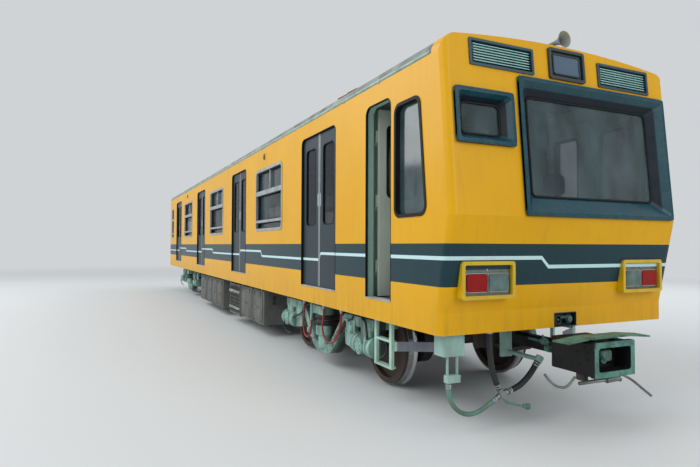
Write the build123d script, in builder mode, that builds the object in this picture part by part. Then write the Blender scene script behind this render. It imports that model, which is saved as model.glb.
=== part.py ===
from build123d import *
import os
from math import atan2, cos, radians, sin, tan

os.makedirs("parts", exist_ok=True)

# A metro motor car with one driving cab, four double doors on each side and two bogies.
# Millimetres, +X towards the cab, +Z up, the origin on the floor under the middle of the car.

# Length of the car
body_length = 16473
front_reach = 520
rear_reach = 447
front_x = (body_length + rear_reach - front_reach) / 2
rear_x = front_x - body_length

# Wheels and the heights that stand on them
wheel_radius = 430
flange_height = 28
axle_z = wheel_radius + flange_height
low_edge_over_axle = 368
low_edge_z = axle_z + low_edge_over_axle

# Cross-section of the body, heights over its lower edge
body_width = 2600
half_width = body_width / 2
wall_thick = 90
floor_rise = 192
floor_thick = 60
side_rise = 2249
shoulder_rise = 2369
crown_rise = 2452
shoulder_radius = 140
roof_thick = 70
roof_set_in = 12
roof_shoulder_radius = 118
ceiling_shoulder_radius = 54

# Front end: an upright band, a face leaning out over it and a face leaning back
band_rise = 177
crease_rise = 941
crease_reach = 158
lean_back_rate = 0.0894
mask_depth = 120
mask_thick = 60
mask_corner = 60
rear_wall_thick = 80
fit = 1
seat_gap = 0.3


def behind(distance):
    """X of a place some distance behind the upright band of the front."""
    return front_x - distance


def above_edge(rise):
    """Z of a place some height above the lower edge of the body."""
    return low_edge_z + rise


def elevation(y):
    """Upright plane along the car at y, its sketches read as X and Z, its normal towards -Y."""
    return Plane.XZ.offset(-y)


def section(x):
    """Upright plane across the car at x, its sketches read as Y and Z, its normal towards +X."""
    return Plane.YZ.offset(x)


def write(piece, name):
    """Names a finished piece and writes it."""
    piece.label = name
    export_step(piece, f"parts/{name}.step")


def rounded_box(x_low, x_high, z_low, z_high, radius):
    """A rectangle between four limits with rounded corners."""
    with BuildSketch() as outline:
        with Locations(((x_low + x_high) / 2, (z_low + z_high) / 2)):
            RectangleRounded(x_high - x_low, z_high - z_low, radius)
    return outline.sketch


def plain_box(x_low, x_high, z_low, z_high):
    """A rectangle between four limits."""
    with BuildSketch() as outline:
        with Locations(((x_low + x_high) / 2, (z_low + z_high) / 2)):
            Rectangle(x_high - x_low, z_high - z_low)
    return outline.sketch


def arched_outline(half, base_z, corner_z, crown_z, radius):
    """A body cross-section: upright sides, rounded shoulders and a shallow arch."""
    with BuildSketch() as outline:
        with BuildLine():
            Polyline((half, corner_z), (half, base_z), (-half, base_z), (-half, corner_z))
            ThreePointArc((-half, corner_z), (0, crown_z), (half, corner_z))
        make_face()
        shoulders = outline.vertices().group_by(Axis.Y)[-1]
        fillet(shoulders, radius)
    return outline.sketch


floor_z = above_edge(floor_rise)
side_top_z = above_edge(side_rise)
floor_under_z = floor_z - floor_thick
mask_back_x = behind(mask_depth)
inner_half = half_width - wall_thick
wall_rear_x = rear_x + rear_wall_thick

# Passenger doorways: the first behind the front, the last ahead of the rear
door_first = 2560
door_last = 2063
door_count = 4
door_pitch = (body_length - door_first - door_last) / (door_count - 1)
door_width = 1100
door_top_rise = 2062
door_corner = 80
leaf_thick = 34
leaf_set_in = 28
leaf_gap = 6
leaf_lap = 20
pocket_slot = 46
pocket_skin = 22
leaf_travel = 530
doorways = [behind(door_first + n * door_pitch) for n in range(door_count)]

# Side windows: columns centre behind the front, width
window_past_middle = 70
window_shift = door_pitch / 2 + window_past_middle
big_window = 1400
small_window_from_rear = 623
small_window_place = body_length - small_window_from_rear
small_window = 480
window_low_rise = 927
window_high_rise = 1922
window_corner = 95
window_lap = 16
window_table = [(door_first + n * door_pitch + window_shift, big_window) for n in range(door_count - 1)]
window_table.append((small_window_place, small_window))

# Cab doorway and cab side window, distances behind the front
cab_door_rear = 1270
cab_door_front = 762
cab_door_corner = 90
cab_window_rear = 700
cab_window_front_low = 168
cab_window_front_high = 275
cab_window_low_rise = 947
cab_window_high_rise = 1962
cab_window_corner = 90


def cab_window_outline(margin, corner):
    """The cab's side window: upright at the back, leaning with the front at the other end."""
    with BuildSketch() as outline:
        with BuildLine():
            Polyline(
                (behind(cab_window_rear) + margin, above_edge(cab_window_low_rise) + margin),
                (behind(cab_window_front_low) - margin, above_edge(cab_window_low_rise) + margin),
                (behind(cab_window_front_high) - margin, above_edge(cab_window_high_rise) - margin),
                (behind(cab_window_rear) + margin, above_edge(cab_window_high_rise) - margin),
                close=True,
            )
        make_face()
        fillet(outline.vertices(), corner)
    return outline.sketch


def doorway_outline(x_low, x_high, z_low, z_high, corner):
    """A doorway with a square foot and rounded top corners."""
    with BuildSketch() as outline:
        add(plain_box(x_low, x_high, z_low, z_high))
        fillet(outline.vertices().group_by(Axis.Y)[-1], corner)
    return outline.sketch


# Side walls with their doorways, windows and the pockets that the door leaves slide into
pocket_spare = 15
pocket_end = leaf_travel + door_width / 2 + leaf_lap + pocket_spare
pocket_margin = 8
sill_thick = 10
leaf_low_z = floor_z + sill_thick + seat_gap
leaf_top_lap = 25
leaf_high_z = above_edge(door_top_rise) + leaf_top_lap
with BuildPart() as side_wall_right:
    with BuildSketch(elevation(-inner_half)):
        add(plain_box(wall_rear_x, mask_back_x, low_edge_z, side_top_z))
        for door_x in doorways:
            add(
                doorway_outline(
                    door_x - door_width / 2,
                    door_x + door_width / 2,
                    floor_z,
                    above_edge(door_top_rise),
                    door_corner,
                ),
                mode=Mode.SUBTRACT,
            )
        for place, width in window_table:
            add(
                rounded_box(
                    behind(place) - width / 2 + window_lap,
                    behind(place) + width / 2 - window_lap,
                    above_edge(window_low_rise) + window_lap,
                    above_edge(window_high_rise) - window_lap,
                    window_corner - window_lap,
                ),
                mode=Mode.SUBTRACT,
            )
        add(
            doorway_outline(
                behind(cab_door_rear),
                behind(cab_door_front),
                floor_z,
                above_edge(door_top_rise),
                cab_door_corner,
            ),
            mode=Mode.SUBTRACT,
        )
        add(cab_window_outline(window_lap, cab_window_corner - window_lap), mode=Mode.SUBTRACT)
    extrude(amount=wall_thick)
    with BuildSketch(elevation(-half_width + pocket_skin)):
        for door_x in doorways:
            add(
                plain_box(
                    door_x - pocket_end,
                    door_x + pocket_end,
                    leaf_low_z - pocket_margin,
                    leaf_high_z + pocket_margin,
                )
            )
    extrude(amount=-pocket_slot, mode=Mode.SUBTRACT)
write(side_wall_right.part, "side_wall_right")

with BuildPart() as side_wall_left:
    mirror(side_wall_right.part, about=Plane.XZ)
write(side_wall_left.part, "side_wall_left")

# Front mask: plan slices stacked at the foot, the band's top, the crease and the crown
crown_reach = crease_reach - lean_back_rate * (crown_rise - crease_rise)
mask_slices = [
    # columns rise, reach ahead of the band
    (0, 0),
    (band_rise, 0),
    (crease_rise, crease_reach),
    (crown_rise, crown_reach),
]


def plan_slice(rise, reach, inset):
    """A plan outline of the front at one height, its front corners rounded."""
    with BuildSketch(Plane.XY.offset(above_edge(rise))) as outline:
        with Locations((mask_back_x, 0)):
            Rectangle(
                mask_depth + reach - inset,
                2 * (half_width - inset),
                align=(Align.MIN, Align.CENTER),
            )
        fillet(outline.vertices().group_by(Axis.X)[-1], mask_corner - min(inset, mask_corner / 2))
    return outline.sketch


with BuildPart() as mask_core:
    loft([plan_slice(rise, reach, mask_thick) for rise, reach in mask_slices], ruled=True)
    with BuildSketch(section(mask_back_x)):
        add(
            arched_outline(
                half_width - mask_thick,
                low_edge_z,
                above_edge(shoulder_rise) - mask_thick,
                above_edge(crown_rise) - mask_thick,
                shoulder_radius - mask_thick,
            )
        )
    extrude(amount=mask_depth + crease_reach, mode=Mode.INTERSECT)

# Plane on the upper face: sketches read as Y and the way up the slope from the crease
lean_angle = atan2(lean_back_rate, 1)
upper_face = Plane(
    origin=(front_x + crease_reach, 0, above_edge(crease_rise)),
    x_dir=(0, 1, 0),
    z_dir=(cos(lean_angle), 0, sin(lean_angle)),
)
# Plane on the lower face, from the band's top up to the crease
out_angle = atan2(crease_reach, crease_rise - band_rise)
lower_face = Plane(
    origin=(front_x, 0, above_edge(band_rise)),
    x_dir=(0, 1, 0),
    z_dir=(cos(out_angle), 0, -sin(out_angle)),
)


def up_slope(rise):
    """Distance up the upper face to a height over the lower edge."""
    return (rise - crease_rise) / cos(lean_angle)


# Openings in the upper face: lowest and highest Y, lowest and highest rise
windscreen_edges = (-575, 1225, 945, 2112)
windscreen_glass = (-440, 1050, 1116, 1972)
small_pane_edges = (-1225, -637, 1502, 1947)
small_pane_glass = (-1130, -732, 1592, 1857)
frame_lap = 30
frame_corner = 50
frame_inner_corner = 30
louvre_inner = 380
louvre_outer = 1050
louvre_low = 2142
louvre_high = 2367
louvre_rim = 22
louvre_corner = 12
socket_corner = 4
sign_corner = 20
neck_corner = 9
neck_opening_corner = neck_corner + fit
sign_half = 210
sign_low = 2142
sign_high = 2418
socket_right = -110
socket_left = 150
socket_rise = 127


def slope_box(y_low, y_high, rise_low, rise_high, margin, radius):
    """A rounded rectangle on the upper face, drawn in by a margin."""
    return rounded_box(
        y_low + margin,
        y_high - margin,
        up_slope(rise_low) + margin,
        up_slope(rise_high) - margin,
        radius,
    )


with BuildPart() as front_mask:
    loft([plan_slice(rise, reach, 0) for rise, reach in mask_slices], ruled=True)
    with BuildSketch(section(mask_back_x)):
        add(
            arched_outline(
                half_width,
                low_edge_z,
                above_edge(shoulder_rise),
                above_edge(crown_rise),
                shoulder_radius,
            )
        )
    extrude(amount=mask_depth + crease_reach, mode=Mode.INTERSECT)
    add(mask_core.part, mode=Mode.SUBTRACT)
    with BuildSketch(upper_face):
        add(slope_box(*windscreen_edges, frame_lap, frame_inner_corner))
        add(slope_box(*small_pane_edges, frame_lap, frame_inner_corner))
        for side in (-1, 1):
            add(
                slope_box(
                    min(side * louvre_inner, side * louvre_outer),
                    max(side * louvre_inner, side * louvre_outer),
                    louvre_low,
                    louvre_high,
                    louvre_rim / 2,
                    neck_opening_corner,
                )
            )
        add(slope_box(-sign_half, sign_half, sign_low, sign_high, louvre_rim / 2, neck_opening_corner))
    extrude(amount=mask_thick * 2, both=True, mode=Mode.SUBTRACT)
    with BuildSketch(section(behind(mask_thick + fit))):
        add(
            rounded_box(
                socket_right,
                socket_left,
                low_edge_z - socket_rise,
                above_edge(socket_rise),
                socket_corner,
            )
        )
    extrude(amount=mask_thick + 2 * fit, mode=Mode.SUBTRACT)
write(front_mask.part, "front_mask")

# Windscreen surround and small window frame: proud rims with splayed reveals down to the glass
rim_proud = 30
rim_width = 34
reveal_depth = 60
front_glass_thick = 8
glass_lap = 14


def splayed_frame(edges, pane):
    """A proud rim on the upper face whose reveal narrows on all sides to the pane behind it."""
    with BuildPart() as rim:
        with BuildSketch(upper_face):
            add(slope_box(*edges, 0, frame_corner))
        extrude(amount=rim_proud)
        with BuildSketch(upper_face):
            add(slope_box(*edges, frame_lap + fit, frame_inner_corner))
        extrude(amount=-reveal_depth)
        with BuildSketch(upper_face.offset(rim_proud)) as mouth:
            add(slope_box(*edges, rim_width, frame_inner_corner))
        with BuildSketch(upper_face.offset(-reveal_depth)) as throat:
            add(slope_box(*pane, 0, frame_inner_corner))
        loft([mouth.sketch, throat.sketch], ruled=True, mode=Mode.SUBTRACT)
    return rim.part


with BuildPart() as front_window_frames:
    add(splayed_frame(windscreen_edges, windscreen_glass))
    add(splayed_frame(small_pane_edges, small_pane_glass))
write(front_window_frames.part, "front_window_frames")

with BuildPart() as front_glass:
    with BuildSketch(upper_face.offset(-reveal_depth)):
        for pane in (windscreen_glass, small_pane_glass):
            add(slope_box(*pane, -glass_lap, frame_corner))
    extrude(amount=-front_glass_thick)

# Louvred air intakes: a rim with slats sloping down and out
slat_count = 8
slat_thick = 5
slat_depth = 34
slat_tilt = 38
louvre_proud = 12
louvre_depth = 46
slot_corner = 6
slat_end_gap = 2
slat_pitch = (louvre_high - louvre_low - 2 * louvre_rim) / cos(lean_angle) / slat_count
with BuildPart() as front_louvres:
    for side in (-1, 1):
        y_low = min(side * louvre_inner, side * louvre_outer)
        y_high = max(side * louvre_inner, side * louvre_outer)
        with BuildSketch(upper_face):
            add(slope_box(y_low, y_high, louvre_low, louvre_high, 0, louvre_corner))
            add(
                slope_box(y_low, y_high, louvre_low, louvre_high, louvre_rim, slot_corner),
                mode=Mode.SUBTRACT,
            )
        extrude(amount=louvre_proud)
        with BuildSketch(upper_face):
            add(slope_box(y_low, y_high, louvre_low, louvre_high, louvre_rim / 2 + fit, neck_corner))
            add(
                slope_box(y_low, y_high, louvre_low, louvre_high, louvre_rim, slot_corner),
                mode=Mode.SUBTRACT,
            )
        extrude(amount=-louvre_depth)
        slat_start = y_low + louvre_rim / 2 + slat_end_gap
        for n in range(slat_count):
            slat_mid = up_slope(louvre_low) + louvre_rim + (n + 0.5) * slat_pitch
            slat_plane = Plane(
                origin=upper_face.from_local_coords((slat_start, slat_mid, -slat_depth / 3)),
                x_dir=(sin(lean_angle), 0, -cos(lean_angle)),
                z_dir=(0, 1, 0),
            )
            with BuildSketch(slat_plane):
                Rectangle(slat_thick, slat_depth, rotation=slat_tilt)
            extrude(amount=y_high - y_low - louvre_rim - 2 * slat_end_gap)
write(front_louvres.part, "front_louvres")

# Route sign box: a dark case with a set-in blank face
sign_proud = 22
sign_depth = 50
sign_rim = 26
sign_face_corner = 12
with BuildPart() as route_sign_box:
    with BuildSketch(upper_face):
        add(slope_box(-sign_half, sign_half, sign_low, sign_high, 0, sign_corner))
    extrude(amount=sign_proud)
    with BuildSketch(upper_face):
        add(slope_box(-sign_half, sign_half, sign_low, sign_high, louvre_rim / 2 + fit, neck_corner))
    extrude(amount=-sign_depth)
    with BuildSketch(upper_face.offset(sign_proud)):
        add(slope_box(-sign_half, sign_half, sign_low, sign_high, sign_rim, sign_face_corner))
    extrude(amount=-sign_proud, mode=Mode.SUBTRACT)
write(route_sign_box.part, "route_sign_box")

# Headlamp bezels: upright box frames standing out from the leaning lower face
bezel_inner = 632
bezel_outer = 1160
bezel_low = 282
bezel_high = 582
bezel_reach = 104
bezel_rim = 30
bezel_corner = 26
with BuildPart() as headlamp_bezels:
    for side in (-1, 1):
        y_low = min(side * bezel_inner, side * bezel_outer)
        y_high = max(side * bezel_inner, side * bezel_outer)
        with BuildSketch(section(front_x + bezel_reach)):
            add(rounded_box(y_low, y_high, above_edge(bezel_low), above_edge(bezel_high), bezel_corner))
            add(
                rounded_box(
                    y_low + bezel_rim,
                    y_high - bezel_rim,
                    above_edge(bezel_low) + bezel_rim,
                    above_edge(bezel_high) - bezel_rim,
                    bezel_corner / 2,
                ),
                mode=Mode.SUBTRACT,
            )
        extrude(amount=-bezel_reach)
    split(bisect_by=lower_face, keep=Keep.TOP)
write(headlamp_bezels.part, "headlamp_bezels")

# Lamp units: a dark tray in each bezel with a red outer lens and a clear inner lens
tray_set_in = 34
lens_rise_low = 342
lens_rise_high = 482
lens_gap = 20
lens_margin = 26
lens_proud = 20
lens_corner = 18
with BuildPart() as lamp_units:
    for side in (-1, 1):
        tray_low = min(side * (bezel_inner + bezel_rim), side * (bezel_outer - bezel_rim)) + seat_gap
        tray_high = max(side * (bezel_inner + bezel_rim), side * (bezel_outer - bezel_rim)) - seat_gap
        with BuildSketch(section(front_x + bezel_reach - tray_set_in)):
            add(
                rounded_box(
                    tray_low,
                    tray_high,
                    above_edge(bezel_low) + bezel_rim + seat_gap,
                    above_edge(bezel_high) - bezel_rim - seat_gap,
                    bezel_corner / 2,
                )
            )
        extrude(amount=-bezel_reach)
        lens_width = (tray_high - tray_low - lens_gap - 2 * lens_margin) / 2
        for n in range(2):
            lens_low = tray_low + lens_margin + n * (lens_width + lens_gap)
            with BuildSketch(section(front_x + bezel_reach - tray_set_in)):
                add(
                    rounded_box(
                        lens_low,
                        lens_low + lens_width,
                        above_edge(lens_rise_low),
                        above_edge(lens_rise_high),
                        lens_corner,
                    )
                )
            extrude(amount=lens_proud)
    split(bisect_by=lower_face, keep=Keep.TOP)
write(lamp_units.part, "lamp_units")

# Rear end wall with its gangway doorway and two windows
gangway_half = 350
gangway_top_rise = 2042
rear_opening_corner = 80
rear_window_inner = 480
rear_window_outer = 1060
rear_window_low = 1000
rear_window_high = 1850


def rear_window_outline(side, inset):
    """Outline of the rear window on one side, drawn in all round by the inset."""
    low_y, high_y = sorted((side * rear_window_inner, side * rear_window_outer))
    return rounded_box(
        low_y + inset,
        high_y - inset,
        above_edge(rear_window_low) + inset,
        above_edge(rear_window_high) - inset,
        rear_opening_corner - inset,
    )


with BuildPart() as rear_wall:
    with BuildSketch(section(rear_x)):
        add(
            arched_outline(
                half_width,
                low_edge_z,
                above_edge(shoulder_rise),
                above_edge(crown_rise),
                shoulder_radius,
            )
        )
        add(
            doorway_outline(
                -gangway_half,
                gangway_half,
                floor_z,
                above_edge(gangway_top_rise),
                rear_opening_corner,
            ),
            mode=Mode.SUBTRACT,
        )
        for side in (-1, 1):
            add(rear_window_outline(side, 0), mode=Mode.SUBTRACT)
    extrude(amount=rear_wall_thick)
write(rear_wall.part, "rear_wall")

# Roof: an arched shell between the rear wall and the front mask
with BuildPart() as roof:
    with BuildSketch(section(wall_rear_x)):
        add(
            arched_outline(
                half_width,
                side_top_z,
                above_edge(shoulder_rise) - roof_set_in,
                above_edge(crown_rise) - roof_set_in,
                roof_shoulder_radius,
            )
        )
        add(
            arched_outline(
                inner_half,
                side_top_z,
                above_edge(shoulder_rise) - roof_thick,
                above_edge(crown_rise) - roof_thick,
                ceiling_shoulder_radius,
            ),
            mode=Mode.SUBTRACT,
        )
    extrude(amount=mask_back_x - wall_rear_x)
write(roof.part, "roof")

# Side window frames: a rim outside, a neck through the wall, a transom and a lower bar
frame_rim = 42
frame_proud = 8
frame_neck = 60
transom_low_rise = 1502
transom_high_rise = 1572
low_bar_low_rise = 1062
low_bar_high_rise = 1102
side_frame_corner = window_corner - frame_rim
with BuildPart() as side_window_frames:
    for place, width in window_table:
        x_low = behind(place) - width / 2
        x_high = behind(place) + width / 2
        z_low = above_edge(window_low_rise)
        z_high = above_edge(window_high_rise)
        with BuildSketch(elevation(-half_width)):
            add(rounded_box(x_low, x_high, z_low, z_high, window_corner))
        extrude(amount=frame_proud)
        neck = window_lap + fit
        with BuildSketch(elevation(-half_width)):
            add(rounded_box(x_low + neck, x_high - neck, z_low + neck, z_high - neck, window_corner - neck))
        extrude(amount=-frame_neck)
        with BuildSketch(elevation(-half_width - frame_proud)):
            add(
                rounded_box(
                    x_low + frame_rim,
                    x_high - frame_rim,
                    z_low + frame_rim,
                    z_high - frame_rim,
                    side_frame_corner,
                )
            )
            for low, high in (
                (transom_low_rise, transom_high_rise),
                (low_bar_low_rise, low_bar_high_rise),
            ):
                add(plain_box(x_low, x_high, above_edge(low), above_edge(high)), mode=Mode.SUBTRACT)
        extrude(amount=-frame_proud - frame_neck, mode=Mode.SUBTRACT)
    mirror(about=Plane.XZ)
write(side_window_frames.part, "side_window_frames")

# Side window panes, seated behind the frames' necks
pane_thick = 6
with BuildPart() as side_window_glass:
    for place, width in window_table:
        neck = window_lap + fit
        with BuildSketch(elevation(-half_width + frame_neck)):
            add(
                rounded_box(
                    behind(place) - width / 2 + neck,
                    behind(place) + width / 2 - neck,
                    above_edge(window_low_rise) + neck,
                    above_edge(window_high_rise) - neck,
                    window_corner - neck,
                )
            )
        extrude(amount=-pane_thick)
    mirror(about=Plane.XZ)

# Cab side windows: a rubber ring in each opening and its pane
gasket_rim = 30
gasket_depth = 40
with BuildPart() as cab_window_gaskets:
    with BuildSketch(elevation(-half_width)):
        add(cab_window_outline(0, cab_window_corner))
    extrude(amount=frame_proud)
    with BuildSketch(elevation(-half_width)):
        add(cab_window_outline(window_lap + fit, cab_window_corner - window_lap))
    extrude(amount=-gasket_depth)
    with BuildSketch(elevation(-half_width - frame_proud)):
        add(cab_window_outline(gasket_rim, cab_window_corner - gasket_rim))
    extrude(amount=-frame_proud - gasket_depth, mode=Mode.SUBTRACT)
    mirror(about=Plane.XZ)
write(cab_window_gaskets.part, "cab_window_gaskets")

with BuildPart() as cab_side_glass:
    with BuildSketch(elevation(-half_width + gasket_depth)):
        add(cab_window_outline(window_lap + fit, cab_window_corner - window_lap))
    extrude(amount=-pane_thick)
    mirror(about=Plane.XZ)

# Rear window panes, seated in the rear wall
rear_pane_set_in = 30
with BuildPart() as rear_glass:
    with BuildSketch(section(rear_x + rear_pane_set_in)):
        for side in (-1, 1):
            add(rear_window_outline(side, seat_gap))
    extrude(amount=pane_thick)

with BuildPart() as window_glass:
    add(front_glass.part)
    add(side_window_glass.part)
    add(cab_side_glass.part)
    add(rear_glass.part)
write(window_glass.part, "window_glass")

# Passenger door leaves, each with its tall window and pane; fore leaves slide forward, aft ones back
leaf_width = door_width / 2 + leaf_lap - leaf_gap / 2
leaf_window_in = 110
leaf_window_out = 130
leaf_window_low = 952
leaf_window_high = 1902
leaf_window_corner = 60
leaf_pane_thick = 8
for side_name, side in (("right", -1), ("left", 1)):
    for way_name, way in (("fore", 1), ("aft", -1)):
        with BuildPart() as leaves:
            for door_x in doorways:
                x_near = door_x + way * leaf_gap / 2
                x_far = x_near + way * leaf_width
                pane_near = x_near + way * leaf_window_in
                pane_far = x_far - way * leaf_window_out
                outer_y = side * (half_width - leaf_set_in)
                with BuildSketch(elevation(outer_y)):
                    add(plain_box(min(x_near, x_far), max(x_near, x_far), leaf_low_z, leaf_high_z))
                    add(
                        rounded_box(
                            min(pane_near, pane_far),
                            max(pane_near, pane_far),
                            above_edge(leaf_window_low),
                            above_edge(leaf_window_high),
                            leaf_window_corner,
                        ),
                        mode=Mode.SUBTRACT,
                    )
                extrude(amount=side * leaf_thick)
                with BuildSketch(elevation(outer_y - side * (leaf_thick - leaf_pane_thick) / 2)):
                    add(
                        rounded_box(
                            min(pane_near, pane_far) + seat_gap,
                            max(pane_near, pane_far) - seat_gap,
                            above_edge(leaf_window_low) + seat_gap,
                            above_edge(leaf_window_high) - seat_gap,
                            leaf_window_corner - seat_gap,
                        )
                    )
                extrude(amount=side * leaf_pane_thick)
        write(leaves.part, f"door_leaves_{side_name}_{way_name}")

# Door sills: worn treads in the passenger and cab doorways, outside the leaves' path
sill_lip = 6
with BuildPart() as door_sills:
    for door_x in doorways:
        with BuildSketch(elevation(-half_width - sill_lip)):
            add(
                plain_box(
                    door_x - door_width / 2 + fit,
                    door_x + door_width / 2 - fit,
                    floor_z,
                    floor_z + sill_thick,
                )
            )
        extrude(amount=-sill_lip - wall_thick)
    with BuildSketch(elevation(-half_width - sill_lip)):
        add(
            plain_box(
                behind(cab_door_rear) + fit,
                behind(cab_door_front) - fit,
                floor_z,
                floor_z + sill_thick,
            )
        )
    extrude(amount=-sill_lip - wall_thick)
    mirror(about=Plane.XZ)
write(door_sills.part, "door_sills")

# Cab doors: leaves inside the wall, hung on pins behind the doorway and opening inwards
cab_leaf_width = 560
cab_leaf_thick = 38
cab_leaf_clear = 5
cab_pin_back = 1320
cab_pin_radius = 9
cab_pin_offset = 12
cab_hinge_edge = 8
cab_pane_in = 95
cab_pane_width = 330
cab_pane_low = 1190
cab_pane_high = 1912
door_pane_in = 120
door_pane_low = 1150
door_pane_high = 1850
door_pane_corner = 50
cab_pin_x = behind(cab_pin_back)
cab_pin_y = inner_half - cab_leaf_clear - cab_leaf_thick - cab_pin_offset
cab_leaf_low_z = floor_z + sill_thick + seat_gap
cab_leaf_top_lap = 10
cab_leaf_high_z = above_edge(door_top_rise) + cab_leaf_top_lap
knuckle_rises = [
    # heights over the body's lower edge
    442,
    1092,
    1742,
]
knuckle_high = 120


def cab_door(side):
    """A closed cab door leaf with its window, pane, hinge knuckles and inside handle."""
    leaf_x = cab_pin_x + cab_hinge_edge
    face_y = side * (inner_half - cab_leaf_clear)
    with BuildPart() as leaf:
        with BuildSketch(elevation(face_y)):
            add(plain_box(leaf_x, leaf_x + cab_leaf_width, cab_leaf_low_z, cab_leaf_high_z))
            add(
                rounded_box(
                    leaf_x + cab_pane_in,
                    leaf_x + cab_pane_in + cab_pane_width,
                    above_edge(cab_pane_low),
                    above_edge(cab_pane_high),
                    door_pane_corner,
                ),
                mode=Mode.SUBTRACT,
            )
        extrude(amount=side * cab_leaf_thick)
        with BuildSketch(elevation(face_y - side * (cab_leaf_thick - pane_thick) / 2)):
            add(
                rounded_box(
                    leaf_x + cab_pane_in,
                    leaf_x + cab_pane_in + cab_pane_width,
                    above_edge(cab_pane_low),
                    above_edge(cab_pane_high),
                    door_pane_corner,
                )
            )
        extrude(amount=side * pane_thick)
        for rise in knuckle_rises:
            with BuildSketch(Plane.XY.offset(above_edge(rise))):
                with Locations((cab_pin_x, side * cab_pin_y)):
                    Circle(cab_pin_radius)
                with Locations((cab_pin_x + cab_hinge_edge, side * (cab_pin_y + cab_pin_offset / 2))):
                    Rectangle(cab_hinge_edge * 2, cab_pin_offset)
            extrude(amount=knuckle_high)
    return leaf.part


right_leaf = cab_door(-1)
hinge_line = Axis((cab_pin_x, -cab_pin_y, 0), (0, 0, 1))
write(right_leaf.rotate(hinge_line, 90), "cab_door_right")
write(cab_door(1), "cab_door_left")

# Bulkhead behind the cab, with a doorway in its middle and its door hinged into the saloon
bulkhead_back = 1400
bulkhead_thick = 50
bulkhead_door_half = 290
bulkhead_door_rise = 2020
inner_fit = 2
inside_corner_z = above_edge(shoulder_rise) - roof_thick - inner_fit
inside_crown_z = above_edge(crown_rise) - roof_thick - inner_fit
with BuildPart() as cab_bulkhead:
    with BuildSketch(section(behind(bulkhead_back))):
        add(
            arched_outline(
                inner_half - inner_fit,
                floor_z,
                inside_corner_z,
                inside_crown_z,
                shoulder_radius - roof_thick,
            )
        )
        add(
            plain_box(-bulkhead_door_half, bulkhead_door_half, floor_z, above_edge(bulkhead_door_rise)),
            mode=Mode.SUBTRACT,
        )
    extrude(amount=bulkhead_thick)
write(cab_bulkhead.part, "cab_bulkhead")


def hinged_door(face_x, width, low_z, high_z, thick, pin_side):
    """A plain leaf with a window, across the car, hung on a pin at +Y on one of its faces."""
    with BuildPart() as leaf:
        with BuildSketch(section(face_x)):
            add(plain_box(-width / 2, width / 2, low_z, high_z))
            add(
                rounded_box(
                    -width / 2 + door_pane_in,
                    width / 2 - door_pane_in,
                    above_edge(door_pane_low),
                    above_edge(door_pane_high),
                    door_pane_corner,
                ),
                mode=Mode.SUBTRACT,
            )
        extrude(amount=thick)
        with BuildSketch(section(face_x + thick / 2 - pane_thick / 2)):
            add(
                rounded_box(
                    -width / 2 + door_pane_in,
                    width / 2 - door_pane_in,
                    above_edge(door_pane_low),
                    above_edge(door_pane_high),
                    door_pane_corner,
                )
            )
        extrude(amount=pane_thick)
        pin_x = face_x + thick / 2 + pin_side * (thick / 2 + cab_pin_offset)
        for rise in knuckle_rises:
            with BuildSketch(Plane.XY.offset(above_edge(rise))):
                with Locations((pin_x, width / 2 + cab_hinge_edge)):
                    Circle(cab_pin_radius)
                with Locations((pin_x - pin_side * cab_pin_offset / 2, width / 2)):
                    Rectangle(cab_pin_offset, 2 * cab_hinge_edge)
            extrude(amount=knuckle_high)
    return leaf.part


inner_door_thick = 36
inner_door_lap = 25
bulkhead_door_width = 2 * (bulkhead_door_half + inner_door_lap)
gangway_door_width = 2 * (gangway_half + inner_door_lap)
inner_door_clear = 5
bulkhead_door_x = behind(bulkhead_back) - inner_door_clear - inner_door_thick
write(
    hinged_door(
        bulkhead_door_x,
        bulkhead_door_width,
        cab_leaf_low_z,
        above_edge(bulkhead_door_rise) + inner_door_lap,
        inner_door_thick,
        -1,
    ),
    "bulkhead_door",
)
gangway_door_x = wall_rear_x + inner_door_clear
write(
    hinged_door(
        gangway_door_x,
        gangway_door_width,
        cab_leaf_low_z,
        above_edge(gangway_top_rise) + inner_door_lap,
        inner_door_thick,
        1,
    ),
    "gangway_door",
)

# Underframe: floor slab, sole bars, centre sills, cross bearers, bolsters over the bogies and headstocks
sole_bar_set_in = 100
sole_bar_wide = 90
sole_bar_out = half_width - sole_bar_set_in
sole_bar_in = sole_bar_out - sole_bar_wide
sill_in = 250
sill_out = 330
frame_set_up = 20
frame_low_z = low_edge_z + frame_set_up
bearer_half = 50
bogie_back = 2930
wheelbase = 2400
bogie_fore_x = behind(bogie_back)
bogie_aft_x = rear_x + bogie_back
bolster_half = 210
body_bolster_low_z = axle_z + 330
pivot_radius = 80
pivot_depth = 90
floor_front_x = behind(mask_thick + fit)
floor_rear_x = wall_rear_x + fit
swing_room = 130
bogie_room = wheelbase / 2 + wheel_radius + flange_height + swing_room + bearer_half
bay_front = bogie_back + bogie_room
bay_rear = body_length - bogie_back - bogie_room
bay_bearers = 5
headstock_back = 200
headstock_from_rear = 260
pad_long = 160
pad_wide = 80
pad_high = 40
bearer_places = [
    headstock_back,
    bogie_back - bogie_room,
    body_length - bogie_back + bogie_room,
    body_length - headstock_from_rear,
]
for n in range(bay_bearers + 2):
    bearer_places.append(bay_front + n * (bay_rear - bay_front) / (bay_bearers + 1))


def in_bay(part):
    """X of a place between the bogies, as a part of the way from the front one to the rear one."""
    return behind(bay_front + part * (bay_rear - bay_front))


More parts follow.
